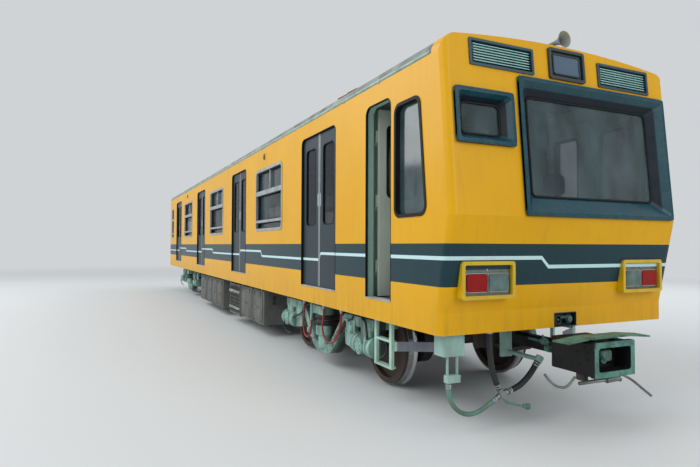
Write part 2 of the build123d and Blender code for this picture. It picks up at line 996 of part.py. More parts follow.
with BuildPart() as underframe:
    with BuildSketch(Plane.XY.offset(floor_under_z)):
        with Locations(((floor_front_x + floor_rear_x) / 2, 0)):
            Rectangle(floor_front_x - floor_rear_x, 2 * (inner_half - fit))
    extrude(amount=floor_thick)
    for low, high in ((sole_bar_in, sole_bar_out), (sill_in, sill_out)):
        with BuildSketch(section(floor_rear_x)):
            for side in (-1, 1):
                with Locations((side * (low + high) / 2, (frame_low_z + floor_under_z) / 2)):
                    Rectangle(high - low, floor_under_z - frame_low_z)
        extrude(amount=floor_front_x - floor_rear_x)
    with BuildSketch(Plane.XY.offset(frame_low_z)):
        for place in bearer_places:
            with Locations((behind(place), 0)):
                Rectangle(2 * bearer_half, 2 * sole_bar_out)
    extrude(amount=floor_under_z - frame_low_z)
    with BuildSketch(Plane.XY.offset(body_bolster_low_z)):
        for bogie_x in (bogie_fore_x, bogie_aft_x):
            with Locations((bogie_x, 0)):
                Rectangle(2 * bolster_half, 2 * sole_bar_out)
    extrude(amount=floor_under_z - body_bolster_low_z)
    with BuildSketch(Plane.XY.offset(body_bolster_low_z)):
        for bogie_x in (bogie_fore_x, bogie_aft_x):
            with Locations((bogie_x, 0)):
                Circle(pivot_radius)
    extrude(amount=-pivot_depth)
    with BuildSketch(Plane.XY.offset(frame_low_z)):
        for place in (bay_front, bay_rear):
            for side in (-1, 1):
                with Locations((behind(place), side * (sole_bar_in + sole_bar_out) / 2)):
                    Rectangle(pad_long, pad_wide)
    extrude(amount=-pad_high)
write(underframe.part, "underframe")

# Bogie frame at its own centre: swan-necked side beams, transoms, spring seats and axleboxes
beam_depth = 110
beam_width = 150
side_beam_y = 1000
beam_low_z = axle_z - 227
beam_high_z = axle_z + 232
beam_low_half = 230
beam_high_half = wheelbase / 2 - 510
beam_end = wheelbase / 2 + 200
beam_bend_low = 260
beam_bend_high = 160
spring_radius = 155
spring_y = 1010
spring_low_z = axle_z + 58
spring_high_z = axle_z + 199
spring_pot_radius = 116
transom_place = wheelbase * 7 / 30
transom_radius = 80
transom_z = axle_z + 92
bogie_bolster_half = 190
bogie_bolster_high_z = axle_z + 305
bogie_bolster_reach = 1140
axlebox_radius = 105
axlebox_half = 230
axlebox_y = 1040
journal_radius = 60
journal_fit = 0.1
journal_cap_radius = 92
journal_cap_out = 1150
spring_seat_radius = 140
spring_seat_low_z = axle_z - 60
box_post_wide = 180
cheek_thick = 50
cheek_proud = 45
cheek_points = [
    # columns distance inside the axle, Z
    (500, beam_high_z),
    (220, beam_high_z),
    (225, axle_z - 90),
    (465, axle_z - 60),
    (480, axle_z + 110),
]
bore_past = 70
with BuildPart() as bogie_frame:
    with BuildSketch(elevation(side_beam_y + beam_width / 2)) as beam_side:
        with BuildLine():
            FilletPolyline(
                (-beam_end, beam_high_z),
                (-beam_high_half, beam_high_z),
                (-beam_low_half, beam_low_z),
                (beam_low_half, beam_low_z),
                (beam_high_half, beam_high_z),
                (beam_end, beam_high_z),
                radius=[beam_bend_high, beam_bend_low, beam_bend_low, beam_bend_high],
            )
        trace(line_width=beam_depth)
    extrude(amount=beam_width)
    with BuildSketch(Plane.XY.offset(beam_low_z)):
        with Locations((0, side_beam_y)):
            Circle(spring_pot_radius)
    extrude(amount=spring_low_z - beam_low_z)
    with BuildSketch(Plane.XY.offset(spring_seat_low_z)):
        with Locations((0, spring_y)):
            Circle(spring_seat_radius)
    extrude(amount=spring_low_z - spring_seat_low_z)
    for end in (-1, 1):
        axle_x = end * wheelbase / 2
        with BuildSketch(section(axle_x - axlebox_half)):
            with Locations((axlebox_y, axle_z)):
                Circle(axlebox_radius)
        extrude(amount=2 * axlebox_half)
        with BuildSketch(elevation(journal_cap_out)):
            with Locations((axle_x, axle_z)):
                Circle(journal_cap_radius)
        extrude(amount=journal_cap_out - axlebox_y)
        with BuildSketch(Plane.XY.offset(axle_z)):
            with Locations((axle_x, side_beam_y)):
                Rectangle(box_post_wide, beam_width)
        extrude(amount=beam_high_z - axle_z)
        with BuildSketch(elevation(axlebox_y + cheek_proud)):
            with BuildLine():
                Polyline(*[(axle_x - end * inside, z) for inside, z in cheek_points], close=True)
            make_face()
        extrude(amount=cheek_thick)
    mirror(about=Plane.XZ)
    for end in (-1, 1):
        with BuildSketch(elevation(side_beam_y)):
            with Locations((end * transom_place, transom_z)):
                Circle(transom_radius)
        extrude(amount=2 * side_beam_y)
    for end in (-1, 1):
        with BuildSketch(elevation(axlebox_y + bore_past)):
            with Locations((end * wheelbase / 2, axle_z)):
                Circle(journal_radius + journal_fit)
        extrude(amount=2 * (axlebox_y + bore_past), mode=Mode.SUBTRACT)

# Bolster on the air springs, with the ring that the body's pivot turns in
pivot_fit = 0.1
pivot_ring_radius = 180
pivot_plate_gap = 0.3
with BuildPart() as bogie_bolster:
    with BuildSketch(Plane.XY.offset(spring_high_z)):
        Rectangle(2 * bogie_bolster_half, 2 * bogie_bolster_reach)
    extrude(amount=bogie_bolster_high_z - spring_high_z)
    with BuildSketch(Plane.XY.offset(bogie_bolster_high_z)):
        Circle(pivot_ring_radius)
    extrude(amount=body_bolster_low_z - pivot_plate_gap - bogie_bolster_high_z)
    with BuildSketch(Plane.XY.offset(spring_high_z)):
        Circle(pivot_radius + pivot_fit)
    extrude(amount=body_bolster_low_z - spring_high_z, mode=Mode.SUBTRACT)

# Air springs: two stacked convolutions under each end of the bolster
convolution_waist = 126
with BuildPart() as air_springs:
    with BuildSketch(Plane.XZ) as spring_half:
        with BuildLine():
            quarter = (spring_high_z - spring_low_z) / 4
            Line((0, spring_low_z), (convolution_waist, spring_low_z))
            ThreePointArc(
                (convolution_waist, spring_low_z),
                (spring_radius, spring_low_z + quarter),
                (convolution_waist, spring_low_z + 2 * quarter),
            )
            ThreePointArc(
                (convolution_waist, spring_low_z + 2 * quarter),
                (spring_radius, spring_low_z + 3 * quarter),
                (convolution_waist, spring_high_z),
            )
            Polyline((convolution_waist, spring_high_z), (0, spring_high_z), (0, spring_low_z))
        make_face()
    revolve(axis=Axis.Z)

# Traction motor block, hung between a transom and its axle on each side of the bolster
axle_radius = 78
motor_clear = 36
motor_half_length = 330
motor_room = wheelbase / 2 - axle_radius - transom_place - transom_radius
motor_radius = motor_room / 2 - motor_clear
motor_place = transom_place + transom_radius + motor_room / 2
pinion_share = 0.6
gearcase_half = 60
gearcase_y = -motor_half_length - gearcase_half
gearcase_radius = 230
gearcase_clear = 8
motor_lug_thick = 50
with BuildPart() as traction_motors:
    for end in (-1, 1):
        with BuildSketch(elevation(motor_half_length)):
            with Locations((end * motor_place, axle_z)):
                Circle(motor_radius)
        extrude(amount=2 * motor_half_length)
        with BuildSketch(elevation(gearcase_y + gearcase_half)):
            with Locations((end * motor_place, axle_z)):
                Circle(motor_radius * pinion_share)
            with Locations((end * wheelbase / 2, axle_z)):
                Circle(gearcase_radius)
            make_hull()
        extrude(amount=2 * gearcase_half)
        with BuildSketch(elevation(gearcase_y + gearcase_half)):
            with Locations((end * wheelbase / 2, axle_z)):
                Circle(axle_radius + gearcase_clear)
        extrude(amount=2 * gearcase_half, mode=Mode.SUBTRACT)
        lug_near = transom_place + transom_radius + seat_gap
        with BuildSketch(Plane.XY.offset(transom_z - motor_lug_thick / 2)):
            with Locations((end * (lug_near + motor_place) / 2, 0)):
                Rectangle(motor_place - lug_near, motor_half_length)
        extrude(amount=motor_lug_thick)

# Wheelset: two flanged wheels on one axle, turned about the axle's line
wheel_back = 680
wheel_width = 130
flange_thick = 32
rim_depth = 65
web_half = 14
hub_radius = 115
hub_proud = 20
cap_proud = 10
tread_fall = 3
flange_shares = [
    # columns share of the flange's height, share of its thickness
    (0.55, 0),
    (1, 0.4),
    (0.7, 0.75),
]
flange_root_share = 1.15
journal_end = 1105
wheel_middle = wheel_back + wheel_width / 2
with BuildPart() as wheelset:
    with BuildSketch(Plane.XY) as half_profile:
        with BuildLine():
            Polyline(
                (0, 0),
                (axle_radius, 0),
                (axle_radius, wheel_back - hub_proud),
                (hub_radius, wheel_back - hub_proud),
                (hub_radius, wheel_middle - web_half),
                (wheel_radius - rim_depth, wheel_middle - web_half),
                (wheel_radius - rim_depth, wheel_back),
                *[
                    (wheel_radius + flange_height * high, wheel_back + flange_thick * wide)
                    for high, wide in flange_shares
                ],
                (wheel_radius + tread_fall, wheel_back + flange_thick * flange_root_share),
                (wheel_radius - tread_fall, wheel_back + wheel_width),
                (wheel_radius - rim_depth, wheel_back + wheel_width),
                (wheel_radius - rim_depth, wheel_middle + web_half),
                (hub_radius, wheel_middle + web_half),
                (hub_radius, wheel_back + wheel_width + cap_proud),
                (journal_radius, wheel_back + wheel_width + cap_proud),
                (journal_radius, journal_end),
                (0, journal_end),
                close=True,
            )
        make_face()
    revolve(axis=Axis.Y)
    mirror(about=Plane.XZ)

axle_number = 0
for bogie_name, bogie_x in (("front", bogie_fore_x), ("rear", bogie_aft_x)):
    here = Pos(bogie_x, 0, 0)
    write(here * bogie_frame.part, f"bogie_frame_{bogie_name}")
    write(here * bogie_bolster.part, f"bogie_bolster_{bogie_name}")
    springs = Compound(
        [here * Pos(0, side * spring_y, 0) * air_springs.part.solid() for side in (-1, 1)]
    )
    write(springs, f"air_springs_{bogie_name}")
    write(here * traction_motors.part, f"traction_motors_{bogie_name}")
    for end in (1, -1):
        axle_number += 1
        axle_place = here * Pos(end * wheelbase / 2, 0, axle_z)
        write(axle_place * wheelset.part, f"wheelset_{axle_number}")

# Coupler at its own pivot: eye, shank and a boxed head with a cone and a funnel in its face
coupler_z = axle_z + 186
coupler_length = 1140
eye_radius = 85
eye_half = 75
pin_radius = 40
pin_fit = 0.1
shank_half = 58
shank_corner = 20
shank_bite = 20
head_long = 450
head_set_in = 15
head_corner = 18
face_corner = 14
mouth_corner = 24
head_half = 226
head_tall = 278
face_plate = 40
face_rim = 46
face_depth = 150
cone_place = -88
cone_radius = 72
cone_tip_radius = 33
cone_long = 128
cone_bite = 5
funnel_clear = 6
funnel_place = 92
hood_half = 468
hood_long = 150
hood_thick = 14
hood_rise = 32
hood_droop = 22
hood_post_long = 60
hood_post_wide = 40
hood_post_foot = 20
with BuildPart() as coupler:
    with BuildSketch(Plane.XY.offset(-eye_half)):
        Circle(eye_radius)
    extrude(amount=2 * eye_half)
    with BuildSketch(Plane.YZ):
        RectangleRounded(2 * shank_half, 2 * shank_half, shank_corner)
    extrude(amount=coupler_length - head_long + shank_bite)
    with BuildSketch(Plane.YZ.offset(coupler_length - head_long)):
        RectangleRounded(2 * (head_half - head_set_in), head_tall - head_set_in, head_corner)
    extrude(amount=head_long - face_plate)
    with BuildSketch(Plane.YZ.offset(coupler_length - face_plate)):
        RectangleRounded(2 * head_half, head_tall, face_corner)
    extrude(amount=face_plate)
    with BuildSketch(Plane.YZ.offset(coupler_length)):
        RectangleRounded(2 * (head_half - face_rim), head_tall - 2 * face_rim, mouth_corner)
    extrude(amount=-face_depth, mode=Mode.SUBTRACT)
    with Locations(Location((coupler_length - face_depth - cone_bite, cone_place, 0), (0, 90, 0))):
        Cone(cone_radius, cone_tip_radius, cone_long, align=(Align.CENTER, Align.CENTER, Align.MIN))
    with Locations(Location((coupler_length - face_depth + cone_bite, funnel_place, 0), (0, -90, 0))):
        Cone(
            cone_radius + funnel_clear,
            cone_tip_radius + funnel_clear,
            cone_long,
            align=(Align.CENTER, Align.CENTER, Align.MIN),
            mode=Mode.SUBTRACT,
        )
    with BuildSketch(Plane.YZ.offset(coupler_length - face_plate - hood_long)):
        with BuildLine():
            hood_top = head_tall / 2 + hood_rise
            Polyline(
                (-hood_half, hood_top - hood_droop),
                (-head_half, hood_top),
                (head_half, hood_top),
                (hood_half, hood_top - hood_droop),
                (hood_half, hood_top - hood_droop - hood_thick),
                (head_half, hood_top - hood_thick),
                (-head_half, hood_top - hood_thick),
                (-hood_half, hood_top - hood_droop - hood_thick),
                close=True,
            )
        make_face()
    extrude(amount=hood_long)
    with BuildSketch(Plane.XY.offset(head_tall / 2 - hood_post_foot)):
        for y in (-head_half / 2, head_half / 2):
            with Locations((coupler_length - face_plate - hood_long / 2, y)):
                Rectangle(hood_post_long, hood_post_wide)
    extrude(amount=hood_rise - hood_thick + hood_post_foot)
    with BuildSketch(Plane.XY.offset(-eye_half)):
        Circle(pin_radius + pin_fit)
    extrude(amount=2 * eye_half, mode=Mode.SUBTRACT)

coupler_pivot_x = (body_length + front_reach + rear_reach) / 2 - coupler_length
for coupler_name, way in (("front", 0), ("rear", 180)):
    spot = Rot(0, 0, way) * Pos(coupler_pivot_x, 0, coupler_z)
    write(spot * coupler.part, f"coupler_{coupler_name}")

# Coupler pockets: two plates and a pin round each eye, hung from the centre sills
pocket_plate = 34
pocket_half = 120
pocket_back_thick = 60
pocket_plate_gap = 0.3
pocket_past_front = 20
pocket_past_rear = 60
pocket_front_x = coupler_pivot_x + eye_radius + pocket_past_front
pocket_rear_x = coupler_pivot_x - eye_radius - pocket_past_rear
with BuildPart() as pocket:
    for low_z, high_z in (
        (coupler_z - eye_half - pocket_plate_gap - pocket_plate, coupler_z - eye_half - pocket_plate_gap),
        (coupler_z + eye_half + pocket_plate_gap, coupler_z + eye_half + pocket_plate_gap + pocket_plate),
    ):
        with BuildSketch(Plane.XY.offset(low_z)):
            with Locations(((pocket_front_x + pocket_rear_x) / 2, 0)):
                Rectangle(pocket_front_x - pocket_rear_x, 2 * pocket_half)
        extrude(amount=high_z - low_z)
    with BuildSketch(Plane.XY.offset(coupler_z - eye_half - pocket_plate_gap - pocket_plate)):
        with Locations((pocket_rear_x - pocket_back_thick / 2, 0)):
            Rectangle(pocket_back_thick, 2 * sill_out)
    extrude(amount=frame_low_z - coupler_z + eye_half + pocket_plate_gap + pocket_plate)
    with BuildSketch(Plane.XY.offset(coupler_z - eye_half - pocket_plate)):
        with Locations((coupler_pivot_x, 0)):
            Circle(pin_radius)
    extrude(amount=2 * (eye_half + pocket_plate))
with BuildPart() as coupler_pockets:
    add(pocket.part)
    add(pocket.part, rotation=(0, 0, 180))
write(coupler_pockets.part, "coupler_pockets")

# Jumper box under the right end of the front, with rods down to its hose connector
jumper_right = -1208
jumper_left = -1006
jumper_low_z = axle_z + 188
jumper_front = 66
jumper_back = 214
jumper_rod_radius = 11
connector_right = -1175
connector_left = -1051
connector_low_z = axle_z - 22
connector_high_z = axle_z + 38
connector_back = 120
connector_front = 66
jumper_corner = 10
jumper_rod_in = 15
with BuildPart() as jumper_box:
    with BuildSketch(Plane.XY.offset(jumper_low_z)):
        with Locations((behind((jumper_front + jumper_back) / 2), (jumper_right + jumper_left) / 2)):
            RectangleRounded(jumper_back - jumper_front, jumper_left - jumper_right, jumper_corner)
    extrude(amount=frame_low_z - jumper_low_z)
    with BuildSketch(Plane.XY.offset(connector_high_z)):
        for y in (connector_right + jumper_rod_in, connector_left - jumper_rod_in):
            with Locations((behind((connector_front + connector_back) / 2), y)):
                Circle(jumper_rod_radius)
    extrude(amount=jumper_low_z - connector_high_z)
    with BuildSketch(Plane.XY.offset(connector_low_z)):
        with Locations(
            (behind((connector_front + connector_back) / 2), (connector_right + connector_left) / 2)
        ):
            Rectangle(connector_back - connector_front, connector_left - connector_right)
    extrude(amount=connector_high_z - connector_low_z)

# Step ladders below the cab doors, with a guard plate running in from the front stringer
step_back = 1293
step_front = 949
step_low_z = axle_z - 95
step_rung_z = axle_z + 154
step_set_in = 130
step_y = half_width - step_set_in
stringer_wide = 44
stringer_deep = 30
rung_thick = 22
rung_deep = 60
guard_low_z = axle_z + 77
guard_tall = 90
guard_thick = 8
guard_lap = 10
guard_end_forward = 190
guard_end_in = 380
with BuildPart() as cab_steps:
    with BuildSketch(Plane.XY.offset(step_low_z)):
        for place in (step_back - stringer_wide / 2, step_front + stringer_wide / 2):
            with Locations((behind(place), step_y)):
                Rectangle(stringer_wide, stringer_deep)
    extrude(amount=frame_low_z - step_low_z)
    for rung_z in (step_low_z, step_rung_z):
        with BuildSketch(Plane.XY.offset(rung_z)):
            with Locations((behind((step_back + step_front) / 2), step_y - (rung_deep - stringer_deep) / 2)):
                Rectangle(step_back - step_front - stringer_wide, rung_deep)
        extrude(amount=rung_thick)
    with BuildSketch(Plane.XY.offset(guard_low_z)):
        with BuildLine():
            Polyline(
                (behind(step_front + guard_lap), step_y),
                (behind(step_front + guard_lap), step_y - guard_thick),
                (behind(step_front - guard_end_forward), step_y - guard_end_in),
                (behind(step_front - guard_end_forward), step_y - guard_end_in + guard_thick),
                close=True,
            )
        make_face()
    extrude(amount=guard_tall)
    mirror(about=Plane.XZ)
write(cab_steps.part, "cab_steps")

# Underfloor equipment cases on hangers
case_set_in = 110
case_out = half_width - case_set_in
case_in = 640
case_high_z = axle_z + 310
case_corner = 20
hanger_wide = 60
hanger_set_in = 10
case_table = [
    # columns side, rear and front end as parts of the bay between the bogies, lowest Z
    (-1, 0.898, 0.773, axle_z - 300),
    (-1, 0.764, 0.509, axle_z - 300),
    (-1, 0.279, 0.163, axle_z - 250),
    (-1, 0.155, 0.061, axle_z - 250),
    (1, 0.898, 0.668, axle_z - 250),
    (1, 0.245, 0.077, axle_z - 270),
]
with BuildPart() as equipment_cases:
    for side, back, front, low_z in case_table:
        rear_end_x = in_bay(back)
        front_end_x = in_bay(front)
        with BuildSketch(Plane.XY.offset(low_z)):
            with Locations(((rear_end_x + front_end_x) / 2, side * (case_out + case_in) / 2)):
                RectangleRounded(front_end_x - rear_end_x, case_out - case_in, case_corner)
        extrude(amount=case_high_z - low_z)
        with BuildSketch(Plane.XY.offset(case_high_z)):
            for hanger_x in (rear_end_x + 2 * hanger_wide, front_end_x - 2 * hanger_wide):
                with Locations((hanger_x, side * (sole_bar_in + sole_bar_out) / 2)):
                    Rectangle(hanger_wide, sole_bar_wide - 2 * hanger_set_in)
        extrude(amount=frame_low_z - case_high_z)
write(equipment_cases.part, "equipment_cases")

# Resistor rack: an open frame with upright grid plates
rack_back_x = in_bay(0.415)
rack_front_x = in_bay(0.287)
rack_low_z = axle_z - 290
rack_rail = 40
rack_plate_thick = 12
rack_plate_count = 11
rack_x = (rack_back_x + rack_front_x) / 2
rack_y = -(case_out + case_in) / 2
rack_long = rack_front_x - rack_back_x
rack_deep = case_out - case_in
with BuildPart() as resistor_rack:
    for low_z in (rack_low_z, case_high_z - rack_rail):
        with BuildSketch(Plane.XY.offset(low_z)):
            with Locations((rack_x, rack_y)):
                Rectangle(rack_long, rack_deep)
                Rectangle(rack_long - 2 * rack_rail, rack_deep - 2 * rack_rail, mode=Mode.SUBTRACT)
        extrude(amount=rack_rail)
    with BuildSketch(Plane.XY.offset(rack_low_z)):
        with Locations((rack_x, rack_y)):
            with GridLocations(rack_long - rack_rail, rack_deep - rack_rail, 2, 2):
                Rectangle(rack_rail, rack_rail)
    extrude(amount=frame_low_z - rack_low_z)
    plate_pitch = (rack_long - 2 * rack_rail) / rack_plate_count
    with BuildSketch(Plane.XY.offset(rack_low_z + rack_rail / 2)):
        for n in range(rack_plate_count):
            with Locations((rack_back_x + rack_rail + (n + 0.5) * plate_pitch, rack_y)):
                Rectangle(rack_plate_thick, rack_deep - rack_rail)
    extrude(amount=case_high_z - rack_low_z - rack_rail)
write(resistor_rack.part, "resistor_rack")

# Air reservoirs on the left side, strapped up to the sole bar
reservoir_radius = 170
reservoir_bay_share = 0.187
reservoir_length = reservoir_bay_share * (bay_rear - bay_front)
reservoir_set_in = 320
reservoir_y = half_width - reservoir_set_in
reservoir_z = axle_z + 140
reservoir_end_radius = 60
reservoir_parts = [0.343, 0.567]
strap_long = 50
strap_wide = 60
with BuildPart() as air_reservoirs:
    for part in reservoir_parts:
        with BuildSketch(section(in_bay(part) - reservoir_length / 2)):
            with Locations((reservoir_y, reservoir_z)):
                Circle(reservoir_radius)
        extrude(amount=reservoir_length)
    ends = air_reservoirs.edges().filter_by(GeomType.CIRCLE)
    fillet(ends, reservoir_end_radius)
    with BuildSketch(Plane.XY.offset(reservoir_z)):
        for part in reservoir_parts:
            for end in (-1, 1):
                with Locations((in_bay(part) + end * reservoir_length / 4, sole_bar_in + strap_wide / 2)):
                    Rectangle(strap_long, strap_wide)
    extrude(amount=frame_low_z - reservoir_z)
write(air_reservoirs.part, "air_reservoirs")

# Saloon benches along both sides under the windows
bench_length = 1500
bench_deep = 450
bench_high = 430
bench_pad = 70
bench_back_high = 860
bench_wall_gap = 1
with BuildPart() as bench_seats:
    for n in range(door_count - 1):
        bench_mid = behind(door_first + n * door_pitch + window_shift)
        bench_back_y = inner_half - bench_wall_gap
        with BuildSketch(section(bench_mid - bench_length / 2)):
            with BuildLine():
                Polyline(
                    (bench_back_y, floor_z),
                    (bench_back_y, floor_z + bench_back_high),
                    (bench_back_y - bench_pad, floor_z + bench_back_high),
                    (bench_back_y - bench_pad, floor_z + bench_high),
                    (bench_back_y - bench_deep, floor_z + bench_high),
                    (bench_back_y - bench_deep, floor_z + bench_high - bench_pad),
                    (bench_back_y - bench_deep + bench_pad, floor_z + bench_high - bench_pad),
                    (bench_back_y - bench_deep + bench_pad, floor_z),
                    close=True,
                )
            make_face()
        extrude(amount=bench_length)
    mirror(about=Plane.XZ)
write(bench_seats.part, "bench_seats")

# Grab poles at the bench ends, joined by a rail below the ceiling on each side
pole_radius = 17
rail_radius = 15
pole_set_in = 570
pole_y = half_width - pole_set_in
pole_beyond = 60
rail_rise = 2080
with BuildPart() as grab_rails:
    pole_places = [
        door_first + n * door_pitch + window_shift + end * (bench_length / 2 + pole_beyond)
        for n in range(door_count - 1)
        for end in (-1, 1)
    ]
    with BuildSketch(Plane.XY.offset(floor_z)):
        for place in pole_places:
            with Locations((behind(place), pole_y)):
                Circle(pole_radius)
    ceiling_z = above_edge(crown_rise) - roof_thick
    extrude(amount=ceiling_z - floor_z)
    with BuildSketch(section(behind(max(pole_places)))):
        with Locations((pole_y, above_edge(rail_rise))):
            Circle(rail_radius)
    extrude(amount=max(pole_places) - min(pole_places))
    mirror(about=Plane.XZ)
    with BuildSketch(section(wall_rear_x)):
        add(
            arched_outline(
                inner_half - fit,
                floor_z,
                above_edge(shoulder_rise) - roof_thick - fit,
                above_edge(crown_rise) - roof_thick - fit,
                shoulder_radius - roof_thick,
            )
        )
    extrude(amount=mask_back_x - wall_rear_x, mode=Mode.INTERSECT)
write(grab_rails.part, "grab_rails")

# Cab desk across the windscreen
desk_right = -560
desk_left = 1120
desk_rise = 880
desk_back = 290
desk_foot_back = 190
desk_front = 64
desk_flat = 90
desk_fall = 90
desk_edge = 60
desk_under = 40
with BuildPart() as cab_desk:
    with BuildSketch(elevation(desk_left)):
        with BuildLine():
            Polyline(
                (behind(desk_front), floor_z),
                (behind(desk_front), above_edge(desk_rise)),
                (behind(desk_front + desk_flat), above_edge(desk_rise)),
                (behind(desk_back), above_edge(desk_rise - desk_fall)),
                (behind(desk_back), above_edge(desk_rise - desk_fall - desk_edge)),
                (behind(desk_foot_back), above_edge(desk_rise - desk_fall - desk_edge - desk_under)),
                (behind(desk_foot_back), floor_z),
                close=True,
            )
        make_face()
    extrude(amount=desk_left - desk_right)
write(cab_desk.part, "cab_desk")

# Driver's seat: pedestal, cushion, back and headrest
seat_y = 610
seat_front = 320
seat_rear = 735
seat_half = 210
seat_rise = 640
seat_pad = 90
back_thick = 80
head_rise = 1463
head_share = 0.7
head_high = 260
back_below_head = 230
pedestal_radius = 90
pad_corner = 40
back_corner = 50
head_corner_radius = 60
with BuildPart() as driver_seat:
    with BuildSketch(Plane.XY.offset(floor_z)):
        with Locations((behind((seat_front + seat_rear) / 2), seat_y)):
            Circle(pedestal_radius)
    extrude(amount=above_edge(seat_rise) - floor_z)
    with BuildSketch(Plane.XY.offset(above_edge(seat_rise))):
        with Locations((behind((seat_front + seat_rear) / 2), seat_y)):
            RectangleRounded(seat_rear - seat_front, 2 * seat_half, pad_corner)
    extrude(amount=seat_pad)
    with BuildSketch(section(behind(seat_rear))):
        add(
            rounded_box(
                seat_y - seat_half,
                seat_y + seat_half,
                above_edge(seat_rise),
                above_edge(head_rise - back_below_head),
                back_corner,
            )
        )
        add(
            rounded_box(
                seat_y - seat_half * head_share,
                seat_y + seat_half * head_share,
                above_edge(head_rise - head_high),
                above_edge(head_rise),
                head_corner_radius,
            )
        )
    extrude(amount=back_thick)
write(driver_seat.part, "driver_seat")

# Solid of the body under its roof line, to seat what stands on the roof
with BuildPart() as roof_line:
    with BuildSketch(section(wall_rear_x)):
        add(
            arched_outline(
                half_width,
                side_top_z,
                above_edge(shoulder_rise) - roof_set_in,
                above_edge(crown_rise) - roof_set_in,
                roof_shoulder_radius,
            )
        )
    extrude(amount=mask_back_x - wall_rear_x)
roof_top_z = above_edge(crown_rise) - roof_set_in

# Horn: a trumpet behind the mask's top, its bell to the front
horn_y = 190
horn_over_roof = 178
horn_bell_radius = 78
horn_throat = 16
horn_length = 300
horn_back = 150
horn_wall = 5
flare_share = 0.18
flare_radius_share = 0.5
throat_share = 0.5
throat_flare = 1.3
bore_share = 0.42
bore_radius_share = 0.8
driver_share = 0.8
driver_radius_share = 2
horn_foot_share = 0.9
horn_foot_long = 40
horn_foot_wide = 30
roof_bite = 30
horn_axis = Axis((0, horn_y, roof_top_z + horn_over_roof), (1, 0, 0))
horn_plane = Plane(
    origin=(behind(horn_back), horn_y, roof_top_z + horn_over_roof), x_dir=(1, 0, 0), z_dir=(0, -1, 0)
)
with BuildPart() as horn:
    with BuildSketch(horn_plane):
        with BuildLine():
            Polyline((0, 0), (0, horn_bell_radius))
            ThreePointArc(
                (0, horn_bell_radius),
                (-horn_length * flare_share, horn_bell_radius * flare_radius_share),
                (-horn_length * throat_share, horn_throat * throat_flare),
            )
            Polyline(
                (-horn_length * throat_share, horn_throat * throat_flare),
                (-horn_length * driver_share, horn_throat),
                (-horn_length * driver_share, horn_throat * driver_radius_share),
                (-horn_length, horn_throat * driver_radius_share),
                (-horn_length, 0),
                (0, 0),
            )
        make_face()
    revolve(axis=horn_axis)
    with BuildSketch(horn_plane):
        with BuildLine():
            Polyline((0, 0), (0, horn_bell_radius - horn_wall))
            ThreePointArc(
                (0, horn_bell_radius - horn_wall),
                (-horn_length * flare_share, horn_bell_radius * flare_radius_share - horn_wall),
                (-horn_length * bore_share, horn_throat * bore_radius_share),
            )
            Polyline(
                (-horn_length * bore_share, horn_throat * bore_radius_share),
                (-horn_length * bore_share, 0),
                (0, 0),
            )
        make_face()
    revolve(axis=horn_axis, mode=Mode.SUBTRACT)
    with BuildSketch(Plane.XY.offset(roof_top_z - roof_bite)):
        with Locations((behind(horn_back + horn_length * horn_foot_share), horn_y)):
            Rectangle(horn_foot_long, horn_foot_wide)
    extrude(amount=horn_over_roof + roof_bite)
    add(roof_line.part, mode=Mode.SUBTRACT)

# Low ventilator hoods along the roof
vent_long = 760
vent_half = 260
vent_high = 85
vent_corner = 60
vent_taper = 12
vent_count = 4
vent_first = 6300
vent_last_from_rear = 2373
vent_pitch = (body_length - vent_first - vent_last_from_rear) / (vent_count - 1)
with BuildPart() as roof_vents:
    with BuildSketch(Plane.XY.offset(roof_top_z - roof_bite)):
        for n in range(vent_count):
            with Locations((behind(vent_first + n * vent_pitch), 0)):
                RectangleRounded(vent_long, 2 * vent_half, vent_corner)
    extrude(amount=vent_high + roof_bite, taper=vent_taper)
    add(roof_line.part, mode=Mode.SUBTRACT)
with BuildPart() as roof_fittings:
    add(horn.part)
    add(roof_vents.part)
write(roof_fittings.part, "roof_fittings")

# Current collector over the front bogie, folded down: base on insulators, two arms and a head
collector_x = bogie_fore_x
insulator_radius = 42
insulator_high = 150
base_half_long = 560
base_half_wide = 330
base_rail = 50
base_thick = 30
eye_plate_long = 80
eye_plate_over = 20
lower_pivot = (-430, 72)
knee = (640, 96)
head_pivot = (-330, 170)
arm_shaft_radius = 20
shaft_fit = 0.1
lower_tube_radius = 34
upper_tube_radius = 17
upper_tube_y = 110
lower_shaft_half = 190
knee_shaft_half = 140
head_shaft_half = 260
eye_wide = 30
eye_gap = 2
knee_shaft_radius = 15
head_shaft_radius = 12
knee_boss_radius = 28
head_boss_radius = 22
boss_half = 15
brace_radius = 10
base_z = roof_top_z + insulator_high


def collector_point(pair):
    """A pivot's place: X from the collector's middle, Z above the base frame's foot."""
    return (collector_x + pair[0], base_z + pair[1])


def arm_between(start, end, y, radius):
    """A round tube from one pivot to another at one Y."""
    start_x, start_z = collector_point(start)
    end_x, end_z = collector_point(end)
    tube_plane = Plane(
        origin=(start_x, y, start_z), z_dir=(end_x - start_x, 0, end_z - start_z), x_dir=(0, 1, 0)
    )
    length = ((end_x - start_x) ** 2 + (end_z - start_z) ** 2) ** 0.5
    with BuildPart() as tube:
        with BuildSketch(tube_plane):
            Circle(radius)
        extrude(amount=length)
    return tube.part


def shaft_at(pair, y_from, y_to, radius):
    """A round shaft across the car at a pivot."""
    x, z = collector_point(pair)
    with BuildPart() as shaft:
        with BuildSketch(elevation(y_to)):
            with Locations((x, z)):
                Circle(radius)
        extrude(amount=y_to - y_from)
    return shaft.part


